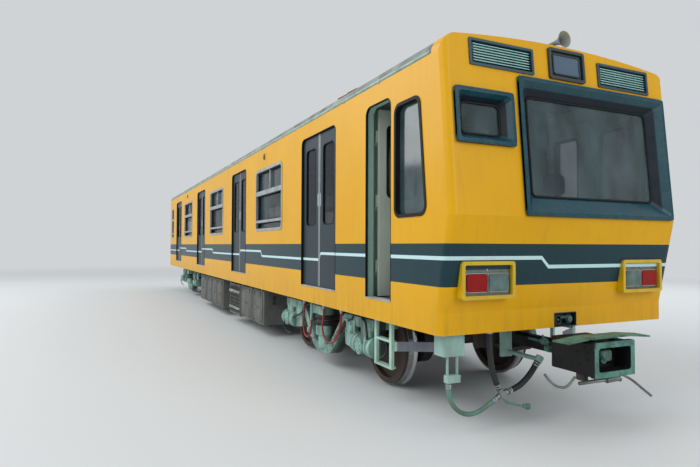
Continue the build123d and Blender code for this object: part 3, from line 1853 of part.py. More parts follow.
with BuildPart() as collector_base:
    with BuildSketch(Plane.XY.offset(base_z)):
        with Locations((collector_x, 0)):
            Rectangle(2 * base_half_long, 2 * base_half_wide)
            Rectangle(
                2 * (base_half_long - base_rail),
                2 * (base_half_wide - base_rail),
                mode=Mode.SUBTRACT,
            )
            with Locations((lower_pivot[0], 0)):
                Rectangle(base_rail * 2, 2 * base_half_wide - base_rail)
    extrude(amount=base_thick)
    with BuildSketch(Plane.XY.offset(roof_top_z - roof_bite)):
        with Locations((collector_x, 0)):
            with GridLocations(2 * base_half_long - base_rail, 2 * base_half_wide - base_rail, 2, 2):
                Circle(insulator_radius)
    extrude(amount=insulator_high + roof_bite)
    for side in (-1, 1):
        with BuildSketch(elevation(side * (lower_shaft_half + eye_gap) + eye_wide / 2)):
            x, z = collector_point(lower_pivot)
            eye_top_z = z + arm_shaft_radius + eye_plate_over
            with Locations((x, (base_z + eye_top_z) / 2)):
                Rectangle(eye_plate_long, eye_top_z - base_z)
            with Locations((x, z)):
                Circle(arm_shaft_radius + shaft_fit, mode=Mode.SUBTRACT)
        extrude(amount=eye_wide)
    add(roof_line.part, mode=Mode.SUBTRACT)
write(collector_base.part, "collector_base")

with BuildPart() as collector_lower_arm:
    add(arm_between(lower_pivot, knee, 0, lower_tube_radius))
    add(shaft_at(lower_pivot, -lower_shaft_half - eye_wide, lower_shaft_half + eye_wide, arm_shaft_radius))
    add(shaft_at(knee, -knee_shaft_half, knee_shaft_half, knee_shaft_radius))
write(collector_lower_arm.part, "collector_lower_arm")

with BuildPart() as collector_upper_arm:
    for side in (-1, 1):
        add(arm_between(knee, head_pivot, side * upper_tube_y, upper_tube_radius))
        boss_low_y = side * upper_tube_y - boss_half
        boss_high_y = side * upper_tube_y + boss_half
        add(shaft_at(knee, boss_low_y, boss_high_y, knee_boss_radius))
        add(shaft_at(head_pivot, boss_low_y, boss_high_y, head_boss_radius))
    for side in (-1, 1):
        bore_low_y = side * upper_tube_y - 2 * boss_half
        bore_high_y = side * upper_tube_y + 2 * boss_half
        add(shaft_at(knee, bore_low_y, bore_high_y, knee_shaft_radius + shaft_fit), mode=Mode.SUBTRACT)
        add(shaft_at(head_pivot, bore_low_y, bore_high_y, head_shaft_radius + shaft_fit), mode=Mode.SUBTRACT)
    brace = ((knee[0] + head_pivot[0]) / 2, (knee[1] + head_pivot[1]) / 2)
    add(shaft_at(brace, -upper_tube_y, upper_tube_y, brace_radius))
write(collector_upper_arm.part, "collector_upper_arm")

strip_half = 520
strip_spread = 160
strip_rise = 62
strip_wide = 36
strip_thick = 24
strip_tip_thick = 16
strip_tip_long = 130
strip_tip_fall = 70
strip_cradle_lap = 20
cradle_thick = 12
cradle_foot_half = 25
cradle_foot_drop = 20
with BuildPart() as collector_head:
    add(shaft_at(head_pivot, -head_shaft_half, head_shaft_half, head_shaft_radius))
    x, z = collector_point(head_pivot)
    for side in (-1, 1):
        with BuildSketch(elevation(side * head_shaft_half + cradle_thick / 2)):
            with BuildLine():
                Polyline(
                    (x - strip_spread - strip_cradle_lap, z + strip_rise),
                    (x + strip_spread + strip_cradle_lap, z + strip_rise),
                    (x + cradle_foot_half, z - cradle_foot_drop),
                    (x - cradle_foot_half, z - cradle_foot_drop),
                    close=True,
                )
            make_face()
        extrude(amount=cradle_thick)
    tip_y = strip_half + strip_tip_long
    tip_z = z + strip_rise - strip_tip_fall
    for spread in (-strip_spread, strip_spread):
        with BuildSketch(section(x + spread - strip_wide / 2)):
            with BuildLine():
                Polyline(
                    (-tip_y, tip_z),
                    (-strip_half, z + strip_rise),
                    (strip_half, z + strip_rise),
                    (tip_y, tip_z),
                    (tip_y, tip_z + strip_tip_thick),
                    (strip_half, z + strip_rise + strip_thick),
                    (-strip_half, z + strip_rise + strip_thick),
                    (-tip_y, tip_z + strip_tip_thick),
                    close=True,
                )
            make_face()
        extrude(amount=strip_wide)
write(collector_head.part, "collector_head")

# Hinge brackets: a pin under each knuckle of the hung doors, seated on a wall or a bulkhead
bracket_high = 40
bulkhead_pin_x = bulkhead_door_x - cab_pin_offset
gangway_pin_x = gangway_door_x + inner_door_thick + cab_pin_offset
with BuildPart() as door_hinges:
    for rise in knuckle_rises:
        with BuildSketch(Plane.XY.offset(above_edge(rise) - bracket_high - seat_gap)):
            for side in (-1, 1):
                with Locations((cab_pin_x, side * cab_pin_y)):
                    Circle(cab_pin_radius)
                with Locations((cab_pin_x, side * (cab_pin_y + inner_half) / 2)):
                    Rectangle(cab_pin_radius, inner_half - cab_pin_y)
            for pin_x, wall_x, width in (
                (bulkhead_pin_x, behind(bulkhead_back), bulkhead_door_width),
                (gangway_pin_x, wall_rear_x, gangway_door_width),
            ):
                pin_y = width / 2 + cab_hinge_edge
                with Locations((pin_x, pin_y)):
                    Circle(cab_pin_radius)
                with Locations(((pin_x + wall_x) / 2, pin_y + cab_hinge_edge / 2)):
                    Rectangle(abs(pin_x - wall_x), cab_hinge_edge)
        extrude(amount=bracket_high)
write(door_hinges.part, "door_hinges")


# Hose fitting at the front: a hub with one spigot for each of the three hoses that meet in it
hose_back = 93
fitting_y = -610
fitting_z = axle_z - 172
fitting_hub_radius = 34
fitting_half = 30
spigot_length = 58
green_angle = 207
black_short_angle = 120
black_long_angle = 12
green_radius = 19
black_radius = 25
spigot_wall = 4


def from_fitting(angle, distance):
    """Y and Z of a place on the line that leaves the fitting's middle at an angle."""
    return (fitting_y + distance * cos(radians(angle)), fitting_z + distance * sin(radians(angle)))


def spigot_plane(angle, distance):
    """Plane square to a spigot's line, facing away from the hub."""
    y, z = from_fitting(angle, distance)
    return Plane(
        origin=(behind(hose_back), y, z),
        x_dir=(1, 0, 0),
        z_dir=(0, cos(radians(angle)), sin(radians(angle))),
    )


with BuildPart() as hose_fitting:
    with BuildSketch(section(behind(hose_back) - fitting_half)):
        with Locations((fitting_y, fitting_z)):
            Circle(fitting_hub_radius)
    extrude(amount=2 * fitting_half)
    for angle, radius in (
        (green_angle, green_radius),
        (black_short_angle, black_radius),
        (black_long_angle, black_radius),
    ):
        with BuildSketch(spigot_plane(angle, spigot_length)):
            Circle(radius + spigot_wall)
        extrude(amount=-spigot_length)


bend_share = 0.45


def hose(points, radius, name):
    """A hose along straight runs joined by arcs, each arc as large as its two runs allow."""
    corners = [Vector(*point) for point in points]
    radii = []
    for before, corner, after in zip(corners, corners[1:], corners[2:]):
        turn = radians((corner - before).get_angle(after - corner))
        shorter = min((corner - before).length, (after - corner).length)
        radii.append(bend_share * shorter / tan(turn / 2))
    print(name, "bend radii", [round(bend) for bend in radii])
    with BuildPart() as tube:
        with BuildLine() as route:
            FilletPolyline(*points, radius=radii)
        with BuildSketch(Plane(origin=corners[0], z_dir=corners[1] - corners[0])):
            Circle(radius)
        sweep(path=route.line)
    write(tube.part, name)


def across(points):
    """Route points given as Y and Z, in the upright plane of the front hoses."""
    return [(behind(hose_back), y, z) for y, z in points]


green_end = from_fitting(green_angle, spigot_length)
green_route = across(
    [
        (-1150, connector_low_z),
        (-1150, 345),
        (-1112, 255),
        (-1040, 187),
        (-945, 156),
        (-845, 170),
        from_fitting(green_angle, spigot_length + 95),
        green_end,
    ]
)
black_short_route = across(
    [
        (-737, frame_low_z),
        (-737, 710),
        (-725, 575),
        from_fitting(black_short_angle, spigot_length + 110),
        from_fitting(black_short_angle, spigot_length),
    ]
)
black_long_runs = [
    # columns angle of the run, its length
    (black_long_angle, 100),
    (28, 115),
    (42, 115),
    (52, 90),
]


def walk(start, runs):
    """The places reached by following runs, each an angle and a length, from a start."""
    places = [start]
    for angle, length in runs:
        y, z = places[-1]
        places.append((y + length * cos(radians(angle)), z + length * sin(radians(angle))))
    return places


black_long_places = walk(from_fitting(black_long_angle, spigot_length), black_long_runs)
hose(green_route, green_radius, "hose_green")
hose(black_short_route, black_radius, "hose_black_short")
hose(across(black_long_places), black_radius, "hose_black_long")

# Brake pipe cock at the long hose's end, on a pipe from a hanger under the right centre sill
cock_long = 56
cock_radius = 34
cock_pipe_radius = 20
hanger_past_pivot = 130
hanger_x = coupler_pivot_x + hanger_past_pivot
hanger_thick = 30
hanger_right = -290
hanger_left = -170
cock_angle = black_long_runs[-1][0]
cock_y, cock_z = walk(black_long_places[-1], [(cock_angle, cock_long / 2)])[-1]
with BuildPart() as brake_pipe_cock:
    with BuildSketch(
        Plane(
            origin=(behind(hose_back), *black_long_places[-1]),
            x_dir=(1, 0, 0),
            z_dir=(0, cos(radians(cock_angle)), sin(radians(cock_angle))),
        )
    ):
        Circle(cock_radius)
    extrude(amount=cock_long)
    with BuildSketch(section(hanger_x)):
        with Locations((cock_y, cock_z)):
            Circle(cock_pipe_radius)
    extrude(amount=behind(hose_back) - hanger_x)
    with BuildSketch(section(hanger_x)):
        add(plain_box(hanger_right, hanger_left, cock_z - 2 * cock_pipe_radius, frame_low_z))
    extrude(amount=hanger_thick)

# Hose loops beside the front bogie, routes as X and Z in an upright plane along the car
red_radius = 12
red_y = -1183
hose_top_z = low_edge_z - 26
gland_radius = 17
loop_fore = [
    (5586, hose_top_z),
    (5586, 712),
    (5553, 610),
    (5536, 505),
    (5590, 418),
    (5690, 373),
    (5800, 372),
    (5905, 415),
    (5990, 492),
    (6058, 585),
    (6104, 690),
    (6104, hose_top_z),
]
loop_aft = [
    (4915, hose_top_z),
    (4915, 712),
    (4887, 610),
    (4868, 505),
    (4885, 402),
    (4962, 335),
    (5060, 335),
    (5135, 400),
    (5172, 495),
    (5172, 612),
]
for loop_name, loop in (("fore", loop_fore), ("aft", loop_aft)):
    hose([(x, red_y, z) for x, z in loop], red_radius, f"hose_red_{loop_name}")
with BuildPart() as hose_glands:
    for loop, end_low_z in ((loop_fore, frame_low_z), (loop_aft, body_bolster_low_z)):
        for place, high_z in ((loop[0], frame_low_z), (loop[-1], end_low_z)):
            with BuildSketch(Plane.XY.offset(place[1])):
                with Locations((place[0], red_y)):
                    Circle(gland_radius)
            extrude(amount=high_z - place[1])
with BuildPart() as hose_fittings:
    add(jumper_box.part)
    add(hose_fitting.part)
    add(brake_pipe_cock.part)
    add(hose_glands.part)
write(hose_fittings.part, "hose_fittings")
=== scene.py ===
"""Dresses the metro car: livery, glass, rubber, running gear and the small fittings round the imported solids."""

import logging
import math
from dataclasses import dataclass
from enum import Enum
from itertools import product
from typing import Callable, Iterable, Sequence, Union

import bmesh
import bpy
import numpy as np
from mathutils import Matrix, Vector


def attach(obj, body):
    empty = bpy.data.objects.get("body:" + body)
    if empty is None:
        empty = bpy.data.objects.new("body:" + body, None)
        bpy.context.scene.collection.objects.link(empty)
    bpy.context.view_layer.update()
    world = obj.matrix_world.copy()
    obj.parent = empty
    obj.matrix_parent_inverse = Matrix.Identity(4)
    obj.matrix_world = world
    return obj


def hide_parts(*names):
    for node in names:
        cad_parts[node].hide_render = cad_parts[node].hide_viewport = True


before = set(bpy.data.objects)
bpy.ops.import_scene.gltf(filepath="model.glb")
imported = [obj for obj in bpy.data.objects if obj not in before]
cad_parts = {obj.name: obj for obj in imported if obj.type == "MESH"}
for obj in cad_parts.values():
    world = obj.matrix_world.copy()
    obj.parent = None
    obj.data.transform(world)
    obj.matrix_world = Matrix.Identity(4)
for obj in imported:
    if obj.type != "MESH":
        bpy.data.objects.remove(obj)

LOG = logging.getLogger("metro_car")
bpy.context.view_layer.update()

# Places and lengths shared by several pieces, in metres
LOW_EDGE = 0.826
FLOOR_Z = 1.018
REAR_X = -8.273
DOOR_X = 5.640
DOOR_PITCH = 3.950
DOORS = tuple(DOOR_X - number * DOOR_PITCH for number in range(4))
CAB_DOOR_X = 7.184
AXLE_Z = 0.458
AXLE_REACH = 1.200
BOGIE_X = {"front": 5.270, "rear": -5.343}
HOSE_X = 8.107
LEAN = math.atan(0.0894)
ENDS = (-1, 1)
AHEAD, SIDEWAYS, UPWARD = (1, 0, 0), (0, 1, 0), (0, 0, 1)

RGB = tuple[float, float, float]
Spot = tuple[float, float, float]
Span = tuple[float, float]
Points = np.ndarray
Place = Sequence[float]
Pairs = Sequence[Span]
Value = Union["Shade", float]
Tint = Union["Shade", RGB]


def srgb(red: int, green: int, blue: int) -> RGB:
    """Turns a written colour into the linear numbers that shaders take.

    Args:
        red: its red from 0 to 255.
        green: its green.
        blue: its blue.

    Returns:
        The linear colour.
    """
    return tuple(
        value / 12.92 if value <= 0.04045 else ((value + 0.055) / 1.055) ** 2.4
        for value in (red / 255, green / 255, blue / 255)
    )


def scaled(colour: RGB, factor: float) -> RGB:
    """The colour times a factor, held at 1."""
    return tuple(min(1.0, channel * factor) for channel in colour)


def vec(*values: float) -> Points:
    """Numbers as an array."""
    return np.array(values, dtype=float)


def unit(direction: Points) -> Points:
    """The direction at length 1."""
    return direction / np.linalg.norm(direction, axis=-1, keepdims=True)


def signed_power(values: Points, power: float) -> Points:
    """Each value's size raised to a power, with its sign kept."""
    return np.sign(values) * np.abs(values) ** power


def turns(sides: int) -> Points:
    """Equal turns round a circle, in radians."""
    return np.arange(sides) * 2 * math.pi / sides


def corner_turns(steps: int) -> tuple[Points, Points, Points]:
    """The four quarter circles round a rectangle.

    Args:
        steps: segments in each of them.

    Returns:
        The turn of every point, and the signs of its corner on both axes.
    """
    part = np.repeat(np.arange(4), steps + 1)
    turn = np.tile(np.linspace(0.0, math.pi / 2, steps + 1), 4) + part * math.pi / 2
    return turn, np.array([1, -1, -1, 1])[part], np.array([1, 1, -1, -1])[part]


def rounded_box(half: Place, radius: float, steps: int = 1) -> Points:
    """A box with rounded edges round 0.

    Formula: a sphere of the edges' radius is cut in eight, and each part is moved to its corner of the box.

    Args:
        half: half the box's sizes.
        radius: the edges' radius.
        steps: segments in each quarter turn.

    Returns:
        A grid of points, closed round its second index.
    """
    turn, sign_x, sign_y = corner_turns(steps)
    quarter = np.linspace(0.0, math.pi / 2, steps + 1)
    rise = np.concatenate([quarter - math.pi / 2, quarter])
    core = np.maximum(np.asarray(half, float) - radius, 0.0)
    ring = radius * np.cos(rise)[:, None]
    x = sign_x * core[0] + ring * np.cos(turn)
    y = sign_y * core[1] + ring * np.sin(turn)
    z = (np.repeat(ENDS, steps + 1) * core[2] + radius * np.sin(rise))[:, None] + 0.0 * turn
    return np.stack([x, y, z], axis=-1)


def carried(path: Points, profile: Points, up: Place, closed: bool = False) -> Points:
    """A profile carried along a path.

    Formula: at each point the profile's first number runs along the path's direction crossed with up, and its
    second along what is square to both.

    Args:
        path: points of the path, one row each.
        profile: pairs of the cross-section.
        up: a direction that the path never runs along.
        closed: whether the path's end meets its start.

    Returns:
        A grid of points, along the path by round the profile.
    """
    ahead = unit(np.roll(path, -1, axis=0) - np.roll(path, 1, axis=0) if closed else np.gradient(path, axis=0))
    side = unit(np.cross(ahead, np.asarray(up, float)))
    top = np.cross(side, ahead)
    return path[:, None, :] + profile[None, :, :1] * side[:, None, :] + profile[None, :, 1:] * top[:, None, :]


def circle(radius: float, sides: int) -> Points:
    """A round profile: cosine and sine of equal turns, times the radius."""
    return np.stack([radius * np.cos(turns(sides)), radius * np.sin(turns(sides))], axis=-1)


def bar(width: float, height: float, chamfer: float) -> Points:
    """A rectangular profile whose corners are cut off: half of it, and the same turned half round.

    Args:
        width: its width.
        height: its height.
        chamfer: the cut at each corner.

    Returns:
        The profile's pairs.
    """
    x, y = width / 2, height / 2
    half = np.array([(x, -y + chamfer), (x, y - chamfer), (x - chamfer, y), (-x + chamfer, y)])
    return np.vstack([half, -half])


def turned(profile: Pairs, origin: Place, axis: Place, sides: int) -> Points:
    """A turned shape.

    Formula: each pair is a distance along the axis and a radius, and the radius is swept round the axis.

    Args:
        profile: pairs from one end to the other.
        origin: where distance 0 lies.
        axis: the axis's direction.
        sides: segments round the axis.

    Returns:
        A grid of points, along the profile by round the axis.
    """
    pairs, direction = np.asarray(profile, float), unit(np.asarray(axis, float))
    first = unit(np.cross(direction, vec(0, 0, 1) if abs(direction[2]) < 0.9 else vec(1, 0, 0)))
    turn = turns(sides)[:, None]
    spoke = np.cos(turn) * first + np.sin(turn) * np.cross(direction, first)
    middle = np.asarray(origin, float) + pairs[:, :1] * direction
    return middle[:, None, :] + pairs[:, 1][:, None, None] * spoke[None, :, :]


def smooth_path(points: Sequence[Place], steps: int) -> Points:
    """A smooth path through points.

    Formula: between two points the place is the Catmull-Rom cubic of the four points round them.

    Args:
        points: the points that it passes.
        steps: segments between two of them.

    Returns:
        The path's points.
    """
    given = np.asarray(points, float)
    padded = np.vstack([2 * given[0] - given[1], given, 2 * given[-1] - given[-2]])
    share = np.linspace(0.0, 1.0, steps, endpoint=False)[None, :, None]
    p0, p1, p2, p3 = (padded[k : len(padded) - 3 + k][:, None, :] for k in range(4))
    square, cube = 2 * p0 - 5 * p1 + 4 * p2 - p3, 3 * p1 - p0 - 3 * p2 + p3
    cubic = 0.5 * (2 * p1 + (p2 - p0) * share + square * share**2 + cube * share**3)
    return np.vstack([cubic.reshape(-1, 3), given[-1:]])


class Side(Enum):
    """The two sides of the car, with the sign of Y on each."""

    RIGHT = -1
    LEFT = 1

    @property
    def tag(self) -> str:
        """The side's word in the names of pieces."""
        return self.name.lower()

    def at(self, x: float, y: float, z: float) -> Spot:
        """A place that is given for the left side, on this side."""
        return (x, self.value * y, z)


@dataclass(frozen=True)
class Board:
    """A flat place on the car that pairs of numbers are drawn on."""

    origin: Spot
    across: Spot
    upward: Spot = (0.0, 0.0, 1.0)

    @property
    def normal(self) -> Points:
        """The direction that the board faces."""
        return np.cross(np.asarray(self.across), np.asarray(self.upward))

    def lay(self, pairs: Points, out: float = 0.0) -> Points:
        """Places of pairs on the board, moved out of it along its normal."""
        start = np.asarray(self.origin) + pairs[..., :1] * np.asarray(self.across)
        return start + pairs[..., 1:2] * np.asarray(self.upward) + out * self.normal

    def set_down(self, grid: Points, pair: Place, out: float) -> Points:
        """A grid drawn round 0 with its third number outwards, set down on the board at a pair."""
        return grid @ np.stack([self.across, self.upward, self.normal]) + self.lay(vec(*pair), out)


def side_board(side: Side, y: float) -> Board:
    """The upright board of one side of the car at a distance from its middle, drawn on in X and Z."""
    return Board((0.0, side.value * y, 0.0), (-float(side.value), 0.0, 0.0))


def cross_board(x: float, way: float) -> Board:
    """The upright board across the car that faces ahead, way 1, or back, way -1."""
    return Board((x, 0.0, 0.0), (0.0, way, 0.0))


FACE_BOARD = Board((8.358, 0.0, 1.767), (0.0, 1.0, 0.0), (-math.sin(LEAN), 0.0, math.cos(LEAN)))


def up_face(rise: float) -> float:
    """Distance up the front's upper face of a height over the body's lower edge."""
    return (rise - 0.941) / math.cos(LEAN)


class Shell:
    """Grids of points gathered into one mesh."""

    def __init__(self) -> None:
        """Starts empty."""
        self.points: list[Points] = []
        self.faces: list[list[int]] = []
        self.count = 0

    def add(self, grid: Points, along: bool = False) -> None:
        """Adds a grid of points as quads, closed round its second index.

        Args:
            grid: the points, first index along and second round.
            along: whether the first index closes on itself too; otherwise a face closes each end.
        """
        rows, cols = grid.shape[:2]
        row, col = np.arange(rows if along else rows - 1)[:, None], np.arange(cols)[None, :]
        ahead, beside = (row + 1) % rows * cols, (col + 1) % cols
        quads = np.stack([row * cols + col, row * cols + beside, ahead + beside, ahead + col], axis=-1)
        self.faces.extend((quads.reshape(-1, 4) + self.count).tolist())
        if not along:
            ring = np.arange(cols) + self.count
            self.faces += [ring[::-1].tolist(), (ring + (rows - 1) * cols).tolist()]
        self.points.append(grid.reshape(-1, 3))
        self.count += rows * cols

    def box(self, centre: Place, size: Place, radius: float, steps: int = 1) -> None:
        """Adds a box with rounded edges by its middle and its full sizes."""
        self.add(rounded_box([length / 2 for length in size], radius, steps) + np.asarray(centre, float))

    def boxes(self, *rows: Place) -> None:
        """Adds boxes; a row has the middle's X, Y and Z, then length, width, height and edge radius."""
        for row in rows:
            self.box(row[:3], row[3:6], row[6])

    def pipe(
        self, points: Sequence[Place], radius: float, sides: int = 10, up: Place = UPWARD, steps: int = 8
    ) -> None:
        """Adds a round tube along a smooth path through points."""
        self.add(carried(smooth_path(points, steps), circle(radius, sides), up))

    def beam(self, path: Points, width: float, height: float, chamfer: float, up: Place) -> None:
        """Adds a rectangular strip along a path."""
        self.add(carried(np.asarray(path, float), bar(width, height, chamfer), up))

    def turn(self, profile: Pairs, origin: Place, axis: Place, sides: int) -> None:
        """Adds a turned shape."""
        self.add(turned(profile, origin, axis, sides))

    def rod(self, start: Place, end: Place, radius: float, sides: int = 14, edge: float = 0.0015) -> None:
        """Adds a round rod between two points, with its edges broken.

        Args:
            start: the middle of one end.
            end: the middle of the other.
            radius: its radius.
            sides: segments round it.
            edge: the bevel at its ends.
        """
        start, end = np.asarray(start, float), np.asarray(end, float)
        long = float(np.linalg.norm(end - start))
        profile = [(0.0, radius - edge), (edge, radius), (long - edge, radius), (long, radius - edge)]
        self.turn(profile, start, end - start, sides)

    def bolts(self, places: Iterable[Place], axis: Place, radius: float, high: float) -> None:
        """Adds hexagonal bolt heads, each on a washer.

        Args:
            places: where they stand.
            axis: the direction that they stand in.
            radius: the heads' radius.
            high: the heads' height with the washer.
        """
        washer, seat = radius * 1.35, high * 0.25
        for place in places:
            self.turn([(0, washer), (seat, washer), (seat, radius), (high, radius * 0.92)], place, axis, 6)

    def loop(
        self, board: Board, across: Place, rise: Place, corner: float, width: float, proud: float, deep: float,
        out: float = 0.0, steps: int = 6,
    ) -> None:
        """Lays a strip of rubber or metal round a rectangle with rounded corners on a board.

        Args:
            board: the board.
            across: the rectangle's two ends across the board, in any order.
            rise: its lower and upper end.
            corner: its corners' radius.
            width: the strip's width on the board.
            proud: how far it stands out.
            deep: how far it goes in.
            out: how far the rectangle itself is off the board.
            steps: segments in each corner.
        """
        turn, *signs = corner_turns(steps)
        a, b = (
            np.where(sign > 0, max(ends) - corner, min(ends) + corner) for sign, ends in zip(signs, (across, rise))
        )
        outline = np.stack([a + corner * np.cos(turn), b + corner * np.sin(turn)], axis=-1)
        path = board.lay(outline, out + (proud - deep) / 2)
        strip = bar(width, proud + deep, min(width, proud + deep) * 0.3)
        self.add(carried(path, strip, board.normal, closed=True), along=True)


def stand(name: str, data: bpy.types.ID) -> bpy.types.Object:
    """Puts an object into the scene.

    Args:
        name: its name.
        data: its mesh, curve, camera or lamp.

    Returns:
        The object.
    """
    made = bpy.data.objects.new(name, data)
    bpy.context.scene.collection.objects.link(made)
    return made


def maths(operation: str, swap: bool = False) -> Callable[..., "Shade"]:
    """Makes a method of Shade that adds a Math node.

    Args:
        operation: the node's operation.
        swap: whether the shade itself is the last operand.

    Returns:
        The method, which takes the further operands.
    """

    def method(shade: "Shade", *others: Value) -> "Shade":
        """Adds the node for a shade and the further operands."""
        operands = [shade, *others][:: -1 if swap else 1]
        return shade.tree.node("Math", dict(enumerate(operands)), operation=operation)

    return method


class Shade:
    """A shader socket that arithmetic can be written on."""

    __add__ = __radd__ = maths("ADD")
    __mul__ = __rmul__ = maths("MULTIPLY")
    __sub__, __rsub__ = maths("SUBTRACT"), maths("SUBTRACT", swap=True)
    __truediv__, __pow__, modulo = maths("DIVIDE"), maths("POWER"), maths("MODULO")
    least, most, size, sine = maths("MINIMUM"), maths("MAXIMUM"), maths("ABSOLUTE"), maths("SINE")

    def __init__(self, tree: "Tree", socket: bpy.types.NodeSocket) -> None:
        """Keeps the socket and the tree that it is in."""
        self.tree, self.socket = tree, socket

    def clamp(self) -> "Shade":
        """The value held between 0 and 1."""
        return self.tree.node("Clamp", {0: self})

    def over(self, edge: float, soft: float) -> "Shade":
        """1 above an edge and 0 below it, with a slope of the given width between."""
        return ((self - edge) / soft + 0.5).clamp()

    def between(self, low: float, high: float, soft: float) -> "Shade":
        """1 inside a band and 0 outside, with slopes of the given width."""
        return self.over(low, soft) * ((high - self) / soft + 0.5).clamp()


class Tree:
    """A material or world with its node tree, built one expression at a time."""

    def __init__(self, name: str, world: bool = False) -> None:
        """Makes an empty node tree.

        Args:
            name: the material's or world's name.
            world: whether it is a world.
        """
        self.owner = (bpy.data.worlds if world else bpy.data.materials).new(name)
        self.owner.use_nodes = True
        self.owner.node_tree.nodes.clear()

    def node(self, kind: str, inputs: dict | None = None, output: int | str = 0, **settings: str) -> Shade:
        """Adds any node.

        Args:
            kind: the node's type, without the word ShaderNode.
            inputs: values or shades by socket name or number.
            output: the socket that is wanted.
            settings: the node's own settings.

        Returns:
            The wanted output as a shade.
        """
        made = self.owner.node_tree.nodes.new("ShaderNode" + kind)
        for key, value in settings.items():
            setattr(made, key, value)
        for key, value in (inputs or {}).items():
            socket = made.inputs[key]
            if isinstance(value, Shade):
                self.owner.node_tree.links.new(value.socket, socket)
            else:
                socket.default_value = (*value, 1.0) if socket.type == "RGBA" else value
        return Shade(self, made.outputs[output])

    def split(self, output: str = "Object") -> list[Shade]:
        """X, Y and Z of the point's place in metres, or of the surface's normal."""
        parts = self.node("SeparateXYZ", {0: self.node("TexCoord", output=output)}).socket.node.outputs
        return [Shade(self, part) for part in parts]

    def noise(self, scale: float, detail: float = 3.0, stretch: Spot = (1.0, 1.0, 1.0), rough: float = 0.55) -> Shade:
        """Noise from 0 to 1 on Object coordinates: patches per metre, octaves, factors on the axes, finer weight."""
        mapped = self.node("Mapping", {"Vector": self.node("TexCoord", output="Object"), "Scale": stretch})
        return self.node("TexNoise", {"Vector": mapped, "Scale": scale, "Detail": detail, "Roughness": rough})

    def blend(self, factor: Value, first: Tint, second: Tint) -> Shade:
        """Mixes two colours, the second by the factor."""
        return self.node("Mix", {0: factor, 6: first, 7: second}, 2, data_type="RGBA")

    def bump(self, height: Shade, distance: float) -> Shade:
        """A normal from a height in units of the distance, in metres."""
        return self.node("Bump", {"Height": height, "Distance": distance})

    def seen(self) -> Shade:
        """Tells the rays that see a thing from those that light it.

        Returns:
            1 for camera, glossy and see-through rays, otherwise 0.
        """
        rays = ("Is Camera Ray", "Is Glossy Ray", "Is Transmission Ray")
        camera, glossy, clear = (self.node("LightPath", output=ray) for ray in rays)
        return camera.most(glossy).most(clear)

    def finish(self, shader: Shade, output: str = "OutputMaterial") -> bpy.types.ID:
        """Links a shader to the output.

        Args:
            shader: the shader.
            output: the output node's type.

        Returns:
            The material or world.
        """
        end = self.owner.node_tree.nodes.new("ShaderNode" + output)
        self.owner.node_tree.links.new(shader.socket, end.inputs["Surface"])
        return self.owner

    def surface(self, **inputs: Value | RGB) -> bpy.types.Material:
        """Ends the tree in one Principled shader; underscores stand for spaces in the socket names."""
        named = {key.replace("_", " "): value for key, value in inputs.items()}
        return self.finish(self.node("BsdfPrincipled", named))


@dataclass(frozen=True)
class Paint:
    """A painted or bare surface: colour that wanders, grime in patches, chips and a fine orange-peel."""

    name: str
    colour: RGB
    roughness: float = 0.4
    metal: float = 0.0
    coat: float = 0.0
    wander: float = 0.12
    grime: RGB = srgb(58, 52, 46)
    dirt: float = 0.25
    dirt_scale: float = 7.0
    chips: float = 0.0
    bare: RGB = srgb(110, 88, 70)
    grain: float = 0.0004
    grain_scale: float = 90.0
    gloss: float = 0.5
    # painted shade: how strongly the paint is darkened, and inwards of what distance from the car's middle, standing
    # in for the shade under the car
    inward_shade: float = 0.0
    shade_from: float = 1.035

    def build(self) -> bpy.types.Material:
        """Builds the paint; painted shade darkens it inwards of a distance from the car's middle.

        Returns:
            The material, ready for a slot.
        """
        tree = Tree(self.name)
        broad = tree.noise(3.0, 2.0)
        colour = tree.blend(broad, scaled(self.colour, 1 - self.wander), scaled(self.colour, 1 + self.wander))
        patches = tree.noise(self.dirt_scale, 6.0, (1.0, 1.0, 0.45), 0.62)
        dirt = patches.over(0.62 - 0.2 * self.dirt, 0.28) * self.dirt
        colour = tree.blend(dirt, colour, self.grime)
        rough = dirt * 0.4 + self.roughness
        # painted shade: inwards towards the car's middle the colour goes to the grime colour at 22 percent
        if self.inward_shade:
            painted_shade = (1 - tree.split()[1].size().over(self.shade_from - 0.05, 0.10)) * self.inward_shade
            colour = tree.blend(painted_shade, colour, scaled(self.grime, 0.22))
        if self.chips:
            chipped = tree.noise(38.0, 5.0, rough=0.7).over(0.74 - 0.1 * self.chips, 0.02)
            colour = tree.blend(chipped, colour, self.bare)
            rough = rough + chipped * 0.25
        return tree.surface(
            Base_Color=colour, Roughness=rough.least(1.0), Metallic=self.metal, Coat_Weight=self.coat,
            Specular_IOR_Level=self.gloss, Normal=tree.bump(tree.noise(self.grain_scale), self.grain),
        )


class Skin(Enum):
    """Which faces of a piece carry the outside paint."""

    SIDE = "side"
    FRONT = "front"
    REAR = "rear"
    LEAF = "leaf"


